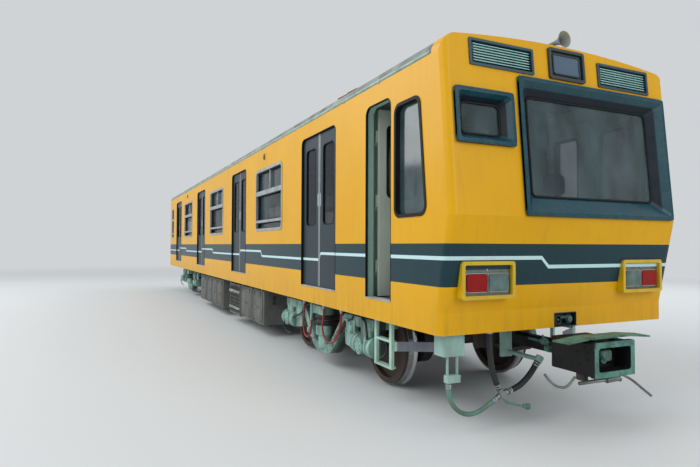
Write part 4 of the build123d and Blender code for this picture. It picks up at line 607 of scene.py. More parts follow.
@dataclass(frozen=True)
class Livery:
    """Yellow body paint with a slate band and a thin pale line that steps at the doors and in each bay."""

    name: str = "side_livery"
    skin: Skin = Skin.SIDE
    yellow: RGB = srgb(230, 173, 12)
    yellow_deep: RGB = srgb(215, 156, 8)
    slate: RGB = srgb(26, 58, 66)
    leaf_slate: RGB = srgb(38, 54, 62)
    line: RGB = srgb(196, 226, 228)
    inner: RGB = srgb(176, 208, 192)
    inner_deep: RGB = srgb(156, 190, 174)
    dust: RGB = srgb(96, 80, 54)
    pane_tint: RGB = srgb(16, 26, 36)
    band: Span = (1.208, 1.548)
    line_high: float = 1.433
    line_drop: float = 0.076
    line_half: float = 0.0155
    low_run: float = 2.370
    bay_step: float = 0.075
    door_step: float = 0.050
    front_drop: float = -0.291
    front_drop_run: float = 0.09
    outer_skin: float = 1.2955
    leaf_inside: float = 1.2395
    pane_reach: Span = (0.1135, 0.4390)
    pane_rise: Span = (1.779, 2.727)
    pane_depth: Span = (1.2500, 1.2600)
    pane_alpha: float = 0.62

    def line_height(self, tree: Tree, x: Shade, y: Shade, on_front: Shade) -> Shade:
        """Height of the pale line's middle.

        Formula: going back along a side the line steps down just ahead of each door's middle and up again in
        each bay. Across the front it starts high on the right and steps down once.

        Args:
            tree: the material's tree.
            x: X of the point.
            y: Y of the point.
            on_front: 1 on the front face.

        Returns:
            The height in metres.
        """
        past_door = (DOOR_X + self.door_step - x).modulo(DOOR_PITCH)
        down = (past_door / self.door_step).clamp()
        up = ((past_door - self.door_step - self.low_run) / self.bay_step).clamp()
        front_low = y.over(self.front_drop, self.front_drop_run)
        low = tree.node("Mix", {0: on_front, 2: down * (1 - up), 3: front_low}, data_type="FLOAT")
        return self.line_high - low * self.line_drop

    def outside(self, y: Shade, z: Shade, nx: Shade, nz: Shade) -> Shade:
        """1 on the faces that carry the outside paint.

        Args:
            y: Y of the point.
            z: Z of the point.
            nx: X of the surface's normal.
            nz: Z of the surface's normal.

        Returns:
            The mask.
        """
        if self.skin is Skin.LEAF:
            return y.size().over(self.leaf_inside, 0.001)
        flank = y.size().over(self.outer_skin, 0.001)
        if self.skin is Skin.SIDE:
            return flank
        way = 1.0 if self.skin is Skin.FRONT else -1.0
        return flank.most((nx * way).over(0.3, 0.05)).most(nz.over(0.3, 0.05) * z.over(3.0, 0.02))

    def pane(self, x: Shade, y: Shade, z: Shade) -> Shade:
        """Masks the panes in the door leaves.

        Args:
            x: X of the point.
            y: Y of the point.
            z: Z of the point.

        Returns:
            1 on a pane, otherwise 0.
        """
        reach = ((DOOR_X + DOOR_PITCH / 2 - x).modulo(DOOR_PITCH) - DOOR_PITCH / 2).size()
        across = reach.between(*self.pane_reach, 0.0005)
        return across * z.between(*self.pane_rise, 0.0005) * y.size().between(*self.pane_depth, 0.0002)

    def build(self) -> bpy.types.Material:
        """Builds the livery on Object coordinates.

        Returns:
            The material for walls, front mask or door leaves.
        """
        tree = Tree(self.name)
        x, y, z = tree.split()
        nx, _, nz = tree.split("Normal")
        fine = tree.noise(26.0, 4.0)
        leaf = self.skin is Skin.LEAF
        if leaf:
            colour = tree.blend(fine, scaled(self.leaf_slate, 0.84), self.leaf_slate)
        else:
            paint = tree.blend(tree.noise(1.3), self.yellow_deep, self.yellow)
            slate = tree.blend(fine, scaled(self.slate, 0.84), self.slate)
            colour = tree.blend(z.between(*self.band, 0.002), paint, slate)
        line = (z - self.line_height(tree, x, y, nx.over(0.6, 0.1))).size()
        colour = tree.blend(1 - line.over(self.line_half, 0.002), colour, self.line)
        streaks = tree.noise(5.0, 6.0, (3.2, 3.2, 0.35), 0.65)
        low_dirt = (1 - (z - LOW_EDGE).over(0.14, 0.36)) * streaks.over(0.46, 0.3) * 0.16
        dirt = (low_dirt + streaks.over(0.62, 0.2) * 0.09).least(0.6)
        colour = tree.blend(dirt, colour, self.dust)
        colour = tree.blend(self.outside(y, z, nx, nz), tree.blend(fine, self.inner, self.inner_deep), colour)
        rough = 0.30 + dirt * 0.5 + fine * 0.1
        alpha: Value = 1.0
        if leaf:
            glass = self.pane(x, y, z)
            colour = tree.blend(glass, colour, self.pane_tint)
            rough = rough * (1 - glass) + 0.04
            alpha = 1 - glass * (1 - self.pane_alpha)
        height = tree.noise(1.9, 2.0, (1.0, 1.0, 0.7)) + tree.noise(210.0, 2.0) * 0.05
        return tree.surface(
            Base_Color=colour, Roughness=rough, Specular_IOR_Level=0.2, Coat_Weight=0.03, Coat_Roughness=0.2,
            Alpha=alpha, Normal=tree.bump(height, 0.0035),
        )


@dataclass(frozen=True)
class CabLeafPaint:
    """Mint paint of a cab door leaf with its pane; the leaf of the right side is modelled standing open."""

    name: str
    along: Span
    depth: Span
    open_leaf: bool
    colours: tuple[RGB, RGB] = (srgb(204, 220, 204), srgb(222, 226, 210))
    grime: RGB = srgb(120, 126, 112)
    pane_tint: RGB = srgb(16, 24, 26)
    rise: Span = (2.017, 2.737)

    def build(self) -> bpy.types.Material:
        """Builds the paint with its pane masked by Object coordinates.

        Returns:
            The material.
        """
        tree = Tree(self.name)
        x, y, z = tree.split()
        along, depth = (y, x) if self.open_leaf else (x, y)
        pane = along.between(*self.along, 0.0005) * z.between(*self.rise, 0.0005)
        pane = pane * depth.between(*self.depth, 0.0002)
        grime = tree.noise(6.0, 5.0, (1.0, 1.0, 0.4)).over(0.6, 0.3) * 0.25
        paint = tree.blend(grime, tree.blend(tree.noise(2.5), *self.colours), self.grime)
        return tree.surface(
            Base_Color=tree.blend(pane, paint, self.pane_tint), Roughness=(0.42 + grime * 0.5) * (1 - pane) + 0.04,
            Alpha=1 - pane * 0.5, Coat_Weight=0.15, Normal=tree.bump(tree.noise(120.0), 0.0003),
        )


@dataclass(frozen=True)
class LampPaint:
    """Bright tray with a red outer lens and a clear cut-glass inner lens, with painted highlights on the lens ribs
    and painted glints.
    """

    name: str = "lamp_faces"
    lens_x: float = 8.2712
    split_y: float = 0.896
    # each lens has a lit and a dark colour, mixed by the painted rib highlights and glints
    red: tuple[RGB, RGB] = (srgb(166, 2, 8), srgb(112, 0, 4))
    clear: tuple[RGB, RGB] = (srgb(120, 146, 144), srgb(30, 46, 50))
    tray: tuple[RGB, RGB] = (srgb(132, 140, 130), srgb(78, 84, 76))
    rib_turn: float = 560.0

    def build(self) -> bpy.types.Material:
        """Builds the lamp's faces; the lens's ribs are a sine across the car, painted lighter and darker as
        highlights.

        Returns:
            The material.
        """
        tree = Tree(self.name)
        x, y, _ = tree.split()
        lens = x.over(self.lens_x, 0.0006)
        outer = y.size().over(self.split_y, 0.002)
        # painted highlights: the rib sine and the noise glints light and darken the lens colours; the rib also drives
        # the bump
        rib = (y * self.rib_turn).sine() * 0.5 + 0.5
        painted_glint = tree.noise(11.0, 1.0).over(0.5, 0.5)
        cut = tree.blend(rib * 0.5 + painted_glint * 0.4, *self.clear)
        colour = tree.blend(outer, cut, tree.blend(rib * 0.5 + painted_glint * 0.3, *self.red))
        return tree.surface(
            Base_Color=tree.blend(lens, tree.blend(tree.noise(14.0), *self.tray), colour),
            Roughness=0.38 - lens * 0.3, Metallic=(1 - lens) * 0.5, Coat_Weight=lens * 0.2,
            Specular_IOR_Level=0.2, Normal=tree.bump(rib * lens, 0.0022),
        )


@dataclass(frozen=True)
class FramePaint:
    """Dark teal paint of the front window frames, with painted shade in the splayed reveals; the rims and the sills
    that face up stay lighter.
    """

    name: str = "front_frame_grey"
    rim: tuple[RGB, RGB] = (srgb(10, 58, 70), srgb(14, 72, 84))
    dust: RGB = srgb(70, 86, 84)
    # colour of the painted shade in the splayed reveals
    reveal_shade: RGB = srgb(10, 24, 36)
    rim_depth: float = 0.010

    def build(self) -> bpy.types.Material:
        """Builds the paint; the depth is the distance behind the upper face, along its normal.

        Returns:
            The material.
        """
        tree = Tree(self.name)
        x, _, z = tree.split()
        nz = tree.split("Normal")[2]
        out = (x - FACE_BOARD.origin[0]) * math.cos(LEAN) + (z - FACE_BOARD.origin[2]) * math.sin(LEAN)
        # painted shade: faces deeper than the rim behind the upper face, and not facing up, take the dark reveal
        # colour
        shaded = (1 - out.over(-self.rim_depth, 0.006)) * (1 - nz.over(0.35, 0.2))
        dust = tree.noise(8.0, 5.0).over(0.58, 0.3) * 0.3
        paint = tree.blend(dust, tree.blend(tree.noise(3.0), *self.rim), self.dust)
        return tree.surface(
            Base_Color=tree.blend(shaded, paint, self.reveal_shade), Roughness=dust * 0.4 + shaded * 0.3 + 0.26,
            Specular_IOR_Level=0.25, Coat_Weight=0.1, Normal=tree.bump(tree.noise(110.0), 0.0003),
        )


@dataclass(frozen=True)
class CouplerPaint:
    """Greasy black coupler with the mint paint of its face, cone and top plate worn at the edges; its mint and black
    are set darker as painted shade.
    """

    name: str = "coupler_paint"
    # painted shade: the mint and black below are darker than the paint is, for the shade under the front of the car
    mint: RGB = srgb(86, 138, 124)
    worn: RGB = srgb(70, 66, 58)
    grease: RGB = srgb(30, 34, 32)
    black: tuple[RGB, RGB] = (srgb(15, 16, 18), srgb(30, 30, 29))
    face_x: float = 8.679
    nose_x: float = 8.7205
    top_z: float = 0.7835

    def build(self) -> bpy.types.Material:
        """Builds the two-coloured paint by place.

        Returns:
            The material.
        """
        tree = Tree(self.name)
        x, _, z = tree.split()
        face = x.size().over(self.face_x, 0.001) * tree.split("Normal")[0].size().over(0.12, 0.05)
        mint = face.most(z.over(self.top_z, 0.001)).most(x.size().over(self.nose_x, 0.0005))
        chips = tree.noise(30.0, 6.0, rough=0.7).over(0.60, 0.05)
        grease = tree.noise(8.0, 5.0).over(0.56, 0.3) * 0.7
        paint = tree.blend(grease, tree.blend(chips, self.mint, self.worn), self.grease)
        return tree.surface(
            Base_Color=tree.blend(mint, tree.blend(tree.noise(12.0), *self.black), paint),
            Roughness=0.5 + chips * 0.2 - grease * 0.15, Metallic=chips * 0.4, Specular_IOR_Level=0.3,
            Normal=tree.bump(tree.noise(70.0, 5.0) - chips * 0.4, 0.0012),
        )


@dataclass(frozen=True)
class SplitPaint:
    """Two paints on one piece, the second inside a zone; a capital letter stands for the coordinate's size."""

    name: str
    first: RGB
    second: RGB
    zone: tuple[tuple[str, float, float], ...]
    roughness: Span = (0.4, 0.4)
    metal: Span = (0.0, 0.0)
    grime: RGB = srgb(62, 60, 54)
    dirt: float = 0.35

    def build(self) -> bpy.types.Material:
        """Builds the two paints.

        Returns:
            The material.
        """
        tree = Tree(self.name)
        axes = dict(zip("xyz", tree.split()))
        inside: Value = 1.0
        for axis, low, high in self.zone:
            place = axes[axis.lower()].size() if axis.isupper() else axes[axis]
            inside = place.between(low, high, 0.0005) * inside
        dust = tree.noise(9.0, 6.0, (1.0, 1.0, 0.5), 0.62).over(0.56, 0.3) * self.dirt
        plain = tree.blend(inside, self.first, self.second)
        colour = tree.blend(0.88, tree.blend(tree.noise(4.0), plain, self.grime), plain)
        return tree.surface(
            Base_Color=tree.blend(dust, colour, self.grime),
            Roughness=inside * (self.roughness[1] - self.roughness[0]) + self.roughness[0] + dust * 0.3,
            Metallic=inside * (self.metal[1] - self.metal[0]) + self.metal[0],
            Normal=tree.bump(tree.noise(120.0), 0.0003),
        )


@dataclass(frozen=True)
class WheelPaint:
    """Rusty dark wheels with treads and flanges polished by the rail, and a bare axle."""

    name: str = "wheel_iron"
    tread: float = 0.4288
    iron: tuple[RGB, RGB] = (srgb(50, 44, 40), srgb(74, 54, 42))
    bright: RGB = srgb(170, 172, 172)

    def build(self) -> bpy.types.Material:
        """Builds the iron, polished beyond the tread's radius from the nearest axle.

        Returns:
            The material.
        """
        tree = Tree(self.name)
        x, _, z = tree.split()
        nearest: Value = 9.0
        for bogie_x, end in product(BOGIE_X.values(), ENDS):
            nearest = (((x - (bogie_x + end * AXLE_REACH)) ** 2 + (z - AXLE_Z) ** 2) ** 0.5).least(nearest)
        polished = nearest.over(self.tread, 0.0008)
        rust = tree.noise(9.0, 6.0, rough=0.65).over(0.5, 0.3)
        return tree.surface(
            Base_Color=tree.blend(polished, tree.blend(rust, *self.iron), self.bright),
            Roughness=0.72 - polished * 0.5, Metallic=polished * 0.8 + 0.1,
            Normal=tree.bump(tree.noise(60.0, 4.0) * (1 - polished), 0.0010),
        )


@dataclass(frozen=True)
class Glass:
    """Tinted pane glass with a film of dust; it is less see-through in the cab, most near the cab's sides, and in the
    saloon's upper lights.
    """

    name: str = "pane_glass"
    tint: RGB = srgb(132, 170, 180)
    alpha: float = 0.28
    dust: float = 0.25
    cab_from: float = 7.0
    cab_dim: float = 0.10
    flank_from: float = 1.22
    flank_dim: float = 0.30
    upper_from: float = 2.36
    upper_dim: float = 0.30

    def build(self) -> bpy.types.Material:
        """Builds thin glass: a glossy see-through film that is thicker where dust lies.

        Returns:
            The material.
        """
        tree = Tree(self.name)
        x, y, z = tree.split()
        cab = x.over(self.cab_from, 0.01)
        flank = y.size().over(self.flank_from, 0.01) * self.flank_dim
        dim = cab * (flank + self.cab_dim) + z.over(self.upper_from, 0.01) * (1 - cab) * self.upper_dim
        film = tree.noise(4.0, 5.0, (1.0, 1.0, 0.5)).over(0.5, 0.35)
        tree.owner.surface_render_method = "BLENDED"
        return tree.surface(
            Base_Color=tree.blend(film * self.dust, scaled(self.tint, 0.10), self.tint),
            Roughness=film * 0.14 + 0.04, Alpha=film * self.dust * 0.4 + self.alpha + dim, Specular_IOR_Level=0.8,
        )


class Finishes:
    """Every finish of the car, built once and handed out by name."""

    def __init__(self) -> None:
        """Builds all the materials."""
        steel_grime, track_dust = srgb(60, 62, 56), srgb(104, 88, 68)
        finishes = (
            Paint("roof_grey", srgb(150, 156, 150), 0.6, dirt=0.6, dirt_scale=3.0),
            Paint("frame_alloy", srgb(176, 182, 184), 0.34, 0.75, dirt=0.35),
            Paint("sign_case_black", srgb(34, 48, 52)),
            Paint("bezel_lemon", srgb(208, 170, 12), 0.3, coat=0.25, wander=0.08, dirt=0.2),
            Paint("seal_black", srgb(17, 18, 20), 0.6, wander=0.2, gloss=0.25),
            Paint("sill_worn", srgb(186, 192, 192), 0.4, 0.4, dirt=0.45, chips=0.6),
            Paint("inner_grey", srgb(150, 172, 160), 0.5, dirt=0.2),
            Paint("chassis_black", srgb(46, 46, 45), 0.75, grime=track_dust, dirt=0.5),
            Paint("case_grey", srgb(96, 102, 100), 0.62, grime=srgb(84, 70, 54), dirt=0.55, chips=0.4),
            # the bogie paint gets painted shade inwards of 1.088 m from the car's middle
            Paint("bogie_mint", srgb(152, 196, 182), 0.5, grime=steel_grime, dirt=0.7, chips=0.7, inward_shade=0.92,
                  shade_from=1.088),
            Paint("frame_mint", srgb(160, 204, 190), 0.45, grime=steel_grime, dirt=0.6, chips=0.7),
            Paint("coupler_mint", srgb(96, 150, 136), 0.45, grime=srgb(34, 36, 34), dirt=0.8, chips=0.9),
            Paint("spring_rubber", srgb(30, 30, 31), 0.6, wander=0.3),
            Paint("motor_iron", srgb(58, 54, 50), 0.7, 0.3, dirt=0.5),
            Paint("seat_shell", srgb(82, 116, 128), 0.5, dirt=0.2),
            Paint("rail_steel", srgb(200, 204, 204), 0.22, 1.0, dirt=0.1),
            Paint("desk_dark", srgb(60, 64, 66), 0.6),
            Paint("cloth_black", srgb(30, 31, 34), 0.9, grain=0.0003, grain_scale=160.0, gloss=0.2),
            Paint("collector_red", srgb(122, 60, 48), 0.6, chips=0.5),
            Paint("fitting_steel", srgb(132, 138, 132), 0.42, 0.8, dirt=0.5),
            Paint("rail_mint", srgb(150, 176, 166), 0.4, 0.3, dirt=0.35),
            Paint("handle_white", srgb(214, 220, 214), 0.3, coat=0.4, dirt=0.15),
            Paint("side_lamp_amber", srgb(96, 74, 30), 0.2, coat=0.6),
            Paint("lamp_diffuser", srgb(216, 220, 216), 0.5, dirt=0.15),
            Paint("seat_blue", srgb(66, 96, 118), 0.5, dirt=0.2),
            Paint("insulator_white", srgb(206, 204, 194), 0.3, coat=0.4, dirt=0.45),
            Paint("lens_red", srgb(176, 24, 26), 0.12, coat=0.8, wander=0.1, dirt=0.1),
            Paint("sign_glass", srgb(52, 84, 106), 0.12, coat=0.8, dirt=0.15),
            Paint("hose_green", srgb(92, 134, 114), 0.5, wander=0.15, dirt=0.4),
            Paint("hose_black", srgb(26, 27, 28), 0.55, wander=0.3),
            Paint("hose_red", srgb(158, 44, 38), 0.5, dirt=0.45),
            Livery(),
            Livery("front_livery", Skin.FRONT),
            Livery("rear_livery", Skin.REAR),
            Livery("leaf_livery", Skin.LEAF),
            CabLeafPaint("cab_leaf_right", (-1.051, -0.723), (6.9075, 6.9145), True),
            CabLeafPaint("cab_leaf_left", (6.984, 7.312), (1.1825, 1.1895), False),
            LampPaint(),
            FramePaint(),
            CouplerPaint(),
            SplitPaint("louvre_paint", srgb(18, 62, 76), srgb(186, 236, 230),
                       (("Y", 0.424, 1.006), ("z", 3.010, 3.160)), (0.4, 0.32), (0.0, 0.3), dirt=0.2),
            SplitPaint("fitting_mint", srgb(148, 182, 170), srgb(150, 152, 150),
                       (("y", -0.70, -0.50), ("z", 0.20, 0.36)), (0.5, 0.35), (0.0, 0.85)),
            SplitPaint("step_mint", srgb(176, 212, 196), srgb(126, 130, 142), (("x", 7.262, 9.0),), (0.5, 0.55)),
            SplitPaint("frame_and_floor", srgb(40, 40, 39), srgb(84, 82, 76), (("z", 1.0174, 2.0),), (0.75, 0.5),
                       grime=srgb(96, 82, 64), dirt=0.45),
            WheelPaint(),
            Glass(),
        )
        self.known = {finish.name: finish.build() for finish in finishes}

    def dress(self, node: str, finish: str) -> None:
        """Puts a finish on a CAD node.

        Args:
            node: the node's name.
            finish: the finish's name.
        """
        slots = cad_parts[node].data.materials
        slots.clear()
        slots.append(self.known[finish])


NODE_FINISHES = {
    "side_livery": "side_wall_right side_wall_left",
    "front_livery": "front_mask",
    "rear_livery": "rear_wall",
    "cab_leaf_right": "cab_door_right",
    "cab_leaf_left": "cab_door_left",
    "roof_grey": "roof roof_fittings",
    "frame_alloy": "side_window_frames",
    "front_frame_grey": "front_window_frames",
    "louvre_paint": "front_louvres",
    "frame_and_floor": "underframe",
    "step_mint": "cab_steps",
    "sign_case_black": "route_sign_box",
    "bezel_lemon": "headlamp_bezels",
    "lamp_faces": "lamp_units",
    "seal_black": "cab_window_gaskets",
    "pane_glass": "window_glass",
    "sill_worn": "door_sills",
    "leaf_livery": "door_leaves_right_fore door_leaves_right_aft door_leaves_left_fore door_leaves_left_aft",
    "inner_grey": "cab_bulkhead bulkhead_door gangway_door door_hinges",
    "chassis_black": "coupler_pockets air_reservoirs",
    "case_grey": "equipment_cases resistor_rack",
    "bogie_mint": "bogie_frame_front bogie_frame_rear bogie_bolster_front bogie_bolster_rear",
    "coupler_paint": "coupler_front coupler_rear",
    "spring_rubber": "air_springs_front air_springs_rear",
    "motor_iron": "traction_motors_front traction_motors_rear",
    "wheel_iron": "wheelset_1 wheelset_2 wheelset_3 wheelset_4",
    "seat_shell": "bench_seats",
    "rail_steel": "grab_rails",
    "desk_dark": "cab_desk",
    "cloth_black": "driver_seat",
    "collector_red": "collector_base collector_lower_arm collector_upper_arm collector_head",
    "fitting_mint": "hose_fittings",
    "hose_green": "hose_green",
    "hose_black": "hose_black_short hose_black_long",
    "hose_red": "hose_red_fore hose_red_aft",
}


@dataclass
class Studio:
    """The pale floor, the soft light and the camera at the photograph's place."""

    eye: Spot = (11.709, -3.716, 1.528)
    yaw: float = math.radians(25.19)
    pitch: float = math.radians(1.278)
    roll: float = math.radians(0.221)
    focal_pixels: float = 542.37
    frame_pixels: float = 700.0
    sensor_mm: float = 36.0
    floor_half: float = 120.0
    floor_colour: RGB = srgb(214, 216, 216)
    sky_colour: RGB = srgb(208, 211, 213)
    sky_light: RGB = (0.86, 0.93, 1.0)
    fade_from: float = 15.0
    fade_run: float = 16.0
    # name, place, what it faces, width and power in watts
    lamps: tuple[tuple[str, Spot, Spot, float, float], ...] = (
        ("key_lamp", (8.0, -13.0, 11.0), (2.0, 0.0, 1.4), 12.0, 1200.0),
        ("front_lamp", (20.0, 3.0, 7.0), (8.0, 0.0, 1.8), 7.0, 580.0),
        ("far_lamp", (-9.0, -13.0, 11.0), (-4.0, 0.0, 1.5), 12.0, 1300.0),
        ("back_lamp", (-2.0, 15.0, 11.0), (-1.0, 0.0, 1.5), 14.0, 1300.0),
    )

    def camera(self) -> None:
        """Stands the camera at the eye, looking back along the car."""
        sin, cos = math.sin, math.cos
        forward = Vector((-cos(self.yaw) * cos(self.pitch), sin(self.yaw) * cos(self.pitch), sin(self.pitch)))
        right = Vector((sin(self.yaw), cos(self.yaw), 0.0))
        up = right.cross(forward)
        rolled_right = right * cos(self.roll) + up * sin(self.roll)
        rolled_up = up * cos(self.roll) - right * sin(self.roll)
        data = bpy.data.cameras.new("photo_camera")
        data.sensor_width = self.sensor_mm
        data.lens = self.focal_pixels * self.sensor_mm / self.frame_pixels
        data.clip_start, data.clip_end = 0.05, 200.0
        camera = stand("photo_camera", data)
        turn = Matrix((rolled_right, rolled_up, -forward)).transposed().to_4x4()
        camera.matrix_world = Matrix.Translation(Vector(self.eye)) @ turn
        bpy.context.scene.camera = camera

    def floor(self) -> None:
        """Lays the pale floor at the car's lowest level; far off it glows as the sky does, to hide its edge."""
        mesh = bpy.data.meshes.new("studio_floor")
        corners = [(x * self.floor_half, y * self.floor_half, 0) for x, y in ((-1, -1), (1, -1), (1, 1), (-1, 1))]
        mesh.from_pydata(corners, [], [(0, 1, 2, 3)])
        floor = stand("studio_floor", mesh)
        tree = Tree("studio_floor")
        x, y, _ = tree.split()
        far = (((x * 0.75) ** 2 + y**2) ** 0.5).over(self.fade_from, self.fade_run)
        near = tree.node("BsdfPrincipled", {"Base Color": self.floor_colour, "Roughness": 0.9})
        glow = tree.node("Emission", {"Color": self.sky_colour, "Strength": 1.0})
        mesh.materials.append(tree.finish(tree.node("MixShader", {0: far * tree.seen(), 1: near, 2: glow})))

    def world(self) -> None:
        """Lights the scene from an even sky that the camera, glossy and see-through rays see as near white."""
        tree = Tree("studio_sky", world=True)
        light = tree.node("Background", {"Color": self.sky_light, "Strength": 0.55})
        shown = tree.node("Background", {"Color": self.sky_colour, "Strength": 1.0})
        mixed = tree.node("MixShader", {0: tree.seen(), 1: light, 2: shown})
        bpy.context.scene.world = tree.finish(mixed, "OutputWorld")

    def build(self) -> None:
        """Sets up the whole studio."""
        self.camera()
        self.floor()
        self.world()
        for name, place, target, width, power in self.lamps:
            data = bpy.data.lights.new(name, "AREA")
            data.size, data.energy = width, power
            aim = (Vector(target) - Vector(place)).to_track_quat("-Z", "Y").to_matrix().to_4x4()
            stand(name, data).matrix_world = Matrix.Translation(Vector(place)) @ aim
        bpy.context.scene.view_settings.view_transform = "Standard"


@dataclass
class Dress:
    """A sub-assembly that makes pieces of shells, dresses them and puts them on their bodies."""

    finishes: Finishes

    def put(
        self, shell: Shell, name: str, finish: str, slot: str, body: str = "car_body", sharp: float = 35.0
    ) -> bpy.types.Object:
        """Makes a piece of a shell: doubles merged, faces outwards, smooth up to an angle.

        Args:
            shell: the gathered grids.
            name: the piece's name.
            finish: the finish's name.
            slot: the record's material slot; not used.
            body: the body that it rides on.
            sharp: the angle in degrees past which an edge stays sharp.

        Returns:
            The piece.
        """
        mesh = bpy.data.meshes.new(name)
        mesh.from_pydata(np.concatenate(shell.points).tolist(), [], shell.faces)
        shape = bmesh.new()
        shape.from_mesh(mesh)
        bmesh.ops.remove_doubles(shape, verts=shape.verts, dist=1e-6)
        bmesh.ops.recalc_face_normals(shape, faces=shape.faces)
        shape.to_mesh(mesh)
        shape.free()
        mesh.shade_smooth()
        mesh.set_sharp_from_angle(angle=math.radians(sharp))
        mesh.materials.append(self.finishes.known[finish])
        piece = stand(name, mesh)
        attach(piece, body)
        LOG.info("%s: %d faces on %s", name, len(mesh.polygons), body)
        return piece

    def build(self) -> None:
        """Builds the sub-assembly's pieces."""
        raise NotImplementedError


@dataclass
class Hoses(Dress):
    """The hanging hoses at the front and beside the front bogie."""

    bogie_y: float = -1.183
    # node, radius, real length, stiffness, then control points: Y and Z at the front, X and Z at the bogie
    table: tuple[tuple[str, float, float, str, Pairs], ...] = (
        ("hose_green", 0.019, 0.69, "medium",
         ((-1.150, 0.436), (-1.150, 0.345), (-1.112, 0.255), (-1.040, 0.187), (-0.945, 0.156), (-0.845, 0.170),
          (-0.7463, 0.2165), (-0.6617, 0.2597))),
        ("hose_black_short", 0.025, 0.53, "stiff",
         ((-0.737, 0.846), (-0.737, 0.710), (-0.725, 0.575), (-0.694, 0.4315), (-0.639, 0.3362))),
        ("hose_black_long", 0.025, 0.42, "stiff",
         ((-0.5533, 0.2981), (-0.4555, 0.3189), (-0.3539, 0.3728), (-0.2685, 0.4498), (-0.2131, 0.5207))),
        ("hose_red_fore", 0.012, 1.18, "medium",
         ((5.586, 0.800), (5.586, 0.712), (5.553, 0.610), (5.536, 0.505), (5.590, 0.418), (5.690, 0.373),
          (5.800, 0.372), (5.905, 0.415), (5.990, 0.492), (6.058, 0.585), (6.104, 0.690), (6.104, 0.800))),
        ("hose_red_aft", 0.012, 0.91, "medium",
         ((4.915, 0.800), (4.915, 0.712), (4.887, 0.610), (4.868, 0.505), (4.885, 0.402), (4.962, 0.335),
          (5.060, 0.335), (5.135, 0.400), (5.172, 0.495), (5.172, 0.612))),
    )

    def cord(self, node: str, route: Sequence[Place], radius: float, length: float, stiffness: str) -> None:
        """Lays one hose as a smooth curve through its control points.

        Args:
            node: the CAD node that it replaces, whose second word is the hose's colour.
            route: the control points.
            radius: the hose's radius.
            length: its real length.
            stiffness: how stiff it is; not used.
        """
        colour = node.split("_")[1]
        curve = bpy.data.curves.new(f"{node}_line", "CURVE")
        curve.dimensions = "3D"
        spline = curve.splines.new("NURBS")
        spline.points.add(len(route) - 1)
        spline.points.foreach_set("co", np.column_stack([route, np.ones(len(route))]).ravel())
        spline.order_u, spline.use_endpoint_u = 3, True
        curve.resolution_u, curve.bevel_resolution = 12, 5
        curve.bevel_depth, curve.use_fill_caps = radius, True
        curve.materials.append(self.finishes.known[f"hose_{colour}"])
        piece = stand(f"{node}_rubber", curve)
        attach(piece, "car_body")
        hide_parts(node)
        LOG.info("%s: cord of %.2f m", node, length)

    def build(self) -> None:
        """Lays the five hoses."""
        for node, radius, length, stiffness, pairs in self.table:
            beside = node.startswith("hose_red")
            route = [(a, self.bogie_y, z) if beside else (HOSE_X, a, z) for a, z in pairs]
            self.cord(node, route, radius, length, stiffness)


@dataclass
class DoorDress(Dress):
    """Rubber, metal edges and locks of the sliding doors and the seals of their doorways."""

    head_z: float = 2.883
    # half the doorway's width and its corners' radius
    doorway: Span = (0.545, 0.080)
    cab_doorway: Span = (0.249, 0.085)
    seal_y: float = 1.290
    leaf_face: float = 1.272
    nose_y: float = 1.262
    middle_z: float = 1.960
    lock_z: float = 2.080
    # distances from the doorway's middle
    nose: float = 0.0035
    edge: float = 0.014
    plate: float = 0.037
    pane: Span = (0.113, 0.440)
    pane_rise: Span = (1.778, 2.728)

    def jambs(self, x: float, y: float, half: float, corner: float) -> Points:
        """A path up one jamb, round the head and down the other.

        Formula: straight jambs, and a quarter circle in each upper corner.

        Args:
            x: X of the doorway's middle.
            y: Y of the seal.
            half: half the doorway's width.
            corner: the corners' radius.

        Returns:
            The path's points.
        """
        quarter = np.linspace(0.0, math.pi / 2, 6)
        sin, cos = corner * np.sin(quarter), corner * np.cos(quarter)
        low, spring = FLOOR_Z + 0.010, self.head_z - corner
        across = np.concatenate([[-half], -half + corner - cos, half - corner + sin, [half]])
        rise = np.concatenate([[low], spring + sin, spring + cos, [low]])
        return np.stack([x + across, np.full(len(across), y), rise], axis=-1)

    def leaves(self, side: Side, tag: str, way: int) -> None:
        """Dresses the leaves that slide one way with pane seals, bright meeting edges and lock plates.

        Args:
            side: the car's side.
            tag: the word for the way.
            way: 1 for the leaves ahead of their doorways' middles, -1 for those behind.
        """
        rubber, metal = Shell(), Shell()
        face = self.leaf_face + 0.0005
        for x in DOORS:
            across = [-side.value * (x + way * reach) for reach in self.pane]
            nose, edge, plate = (x + way * reach for reach in (self.nose, self.edge, self.plate))
            rubber.loop(side_board(side, self.leaf_face), across, self.pane_rise, 0.060, 0.016, 0.0035, 0.012)
            rubber.box(side.at(nose, self.nose_y, self.middle_z), (0.005, 0.026, 1.845), 0.002)
            metal.box(side.at(edge, face, self.middle_z), (0.020, 0.003, 1.840), 0.001)
            metal.box(side.at(plate, face, self.lock_z), (0.030, 0.004, 0.150), 0.001)
            start, end = (side.at(plate, self.leaf_face + out, self.lock_z + 0.03) for out in (0.0, 0.0035))
            metal.rod(start, end, 0.009, edge=0.0005)
        body = f"doors_{side.tag}_{tag}"
        self.put(rubber, f"leaf_rubber_{side.tag}_{tag}", "seal_black", "gasket", body)
        self.put(metal, f"leaf_edges_{side.tag}_{tag}", "frame_alloy", "door_slate", body)

    def build(self) -> None:
        """Seals the doorways and dresses the leaves of both sides."""
        for side in Side:
            shell = Shell()
            for x, opening in [(x, self.doorway) for x in DOORS] + [(CAB_DOOR_X, self.cab_doorway)]:
                shell.beam(self.jambs(x, side.value * self.seal_y, *opening), 0.010, 0.026, 0.003, SIDEWAYS)
            self.put(shell, f"doorway_seals_{side.tag}", "seal_black", "gasket")
        for side, (tag, way) in product(Side, (("fore", 1), ("aft", -1))):
            self.leaves(side, tag, way)


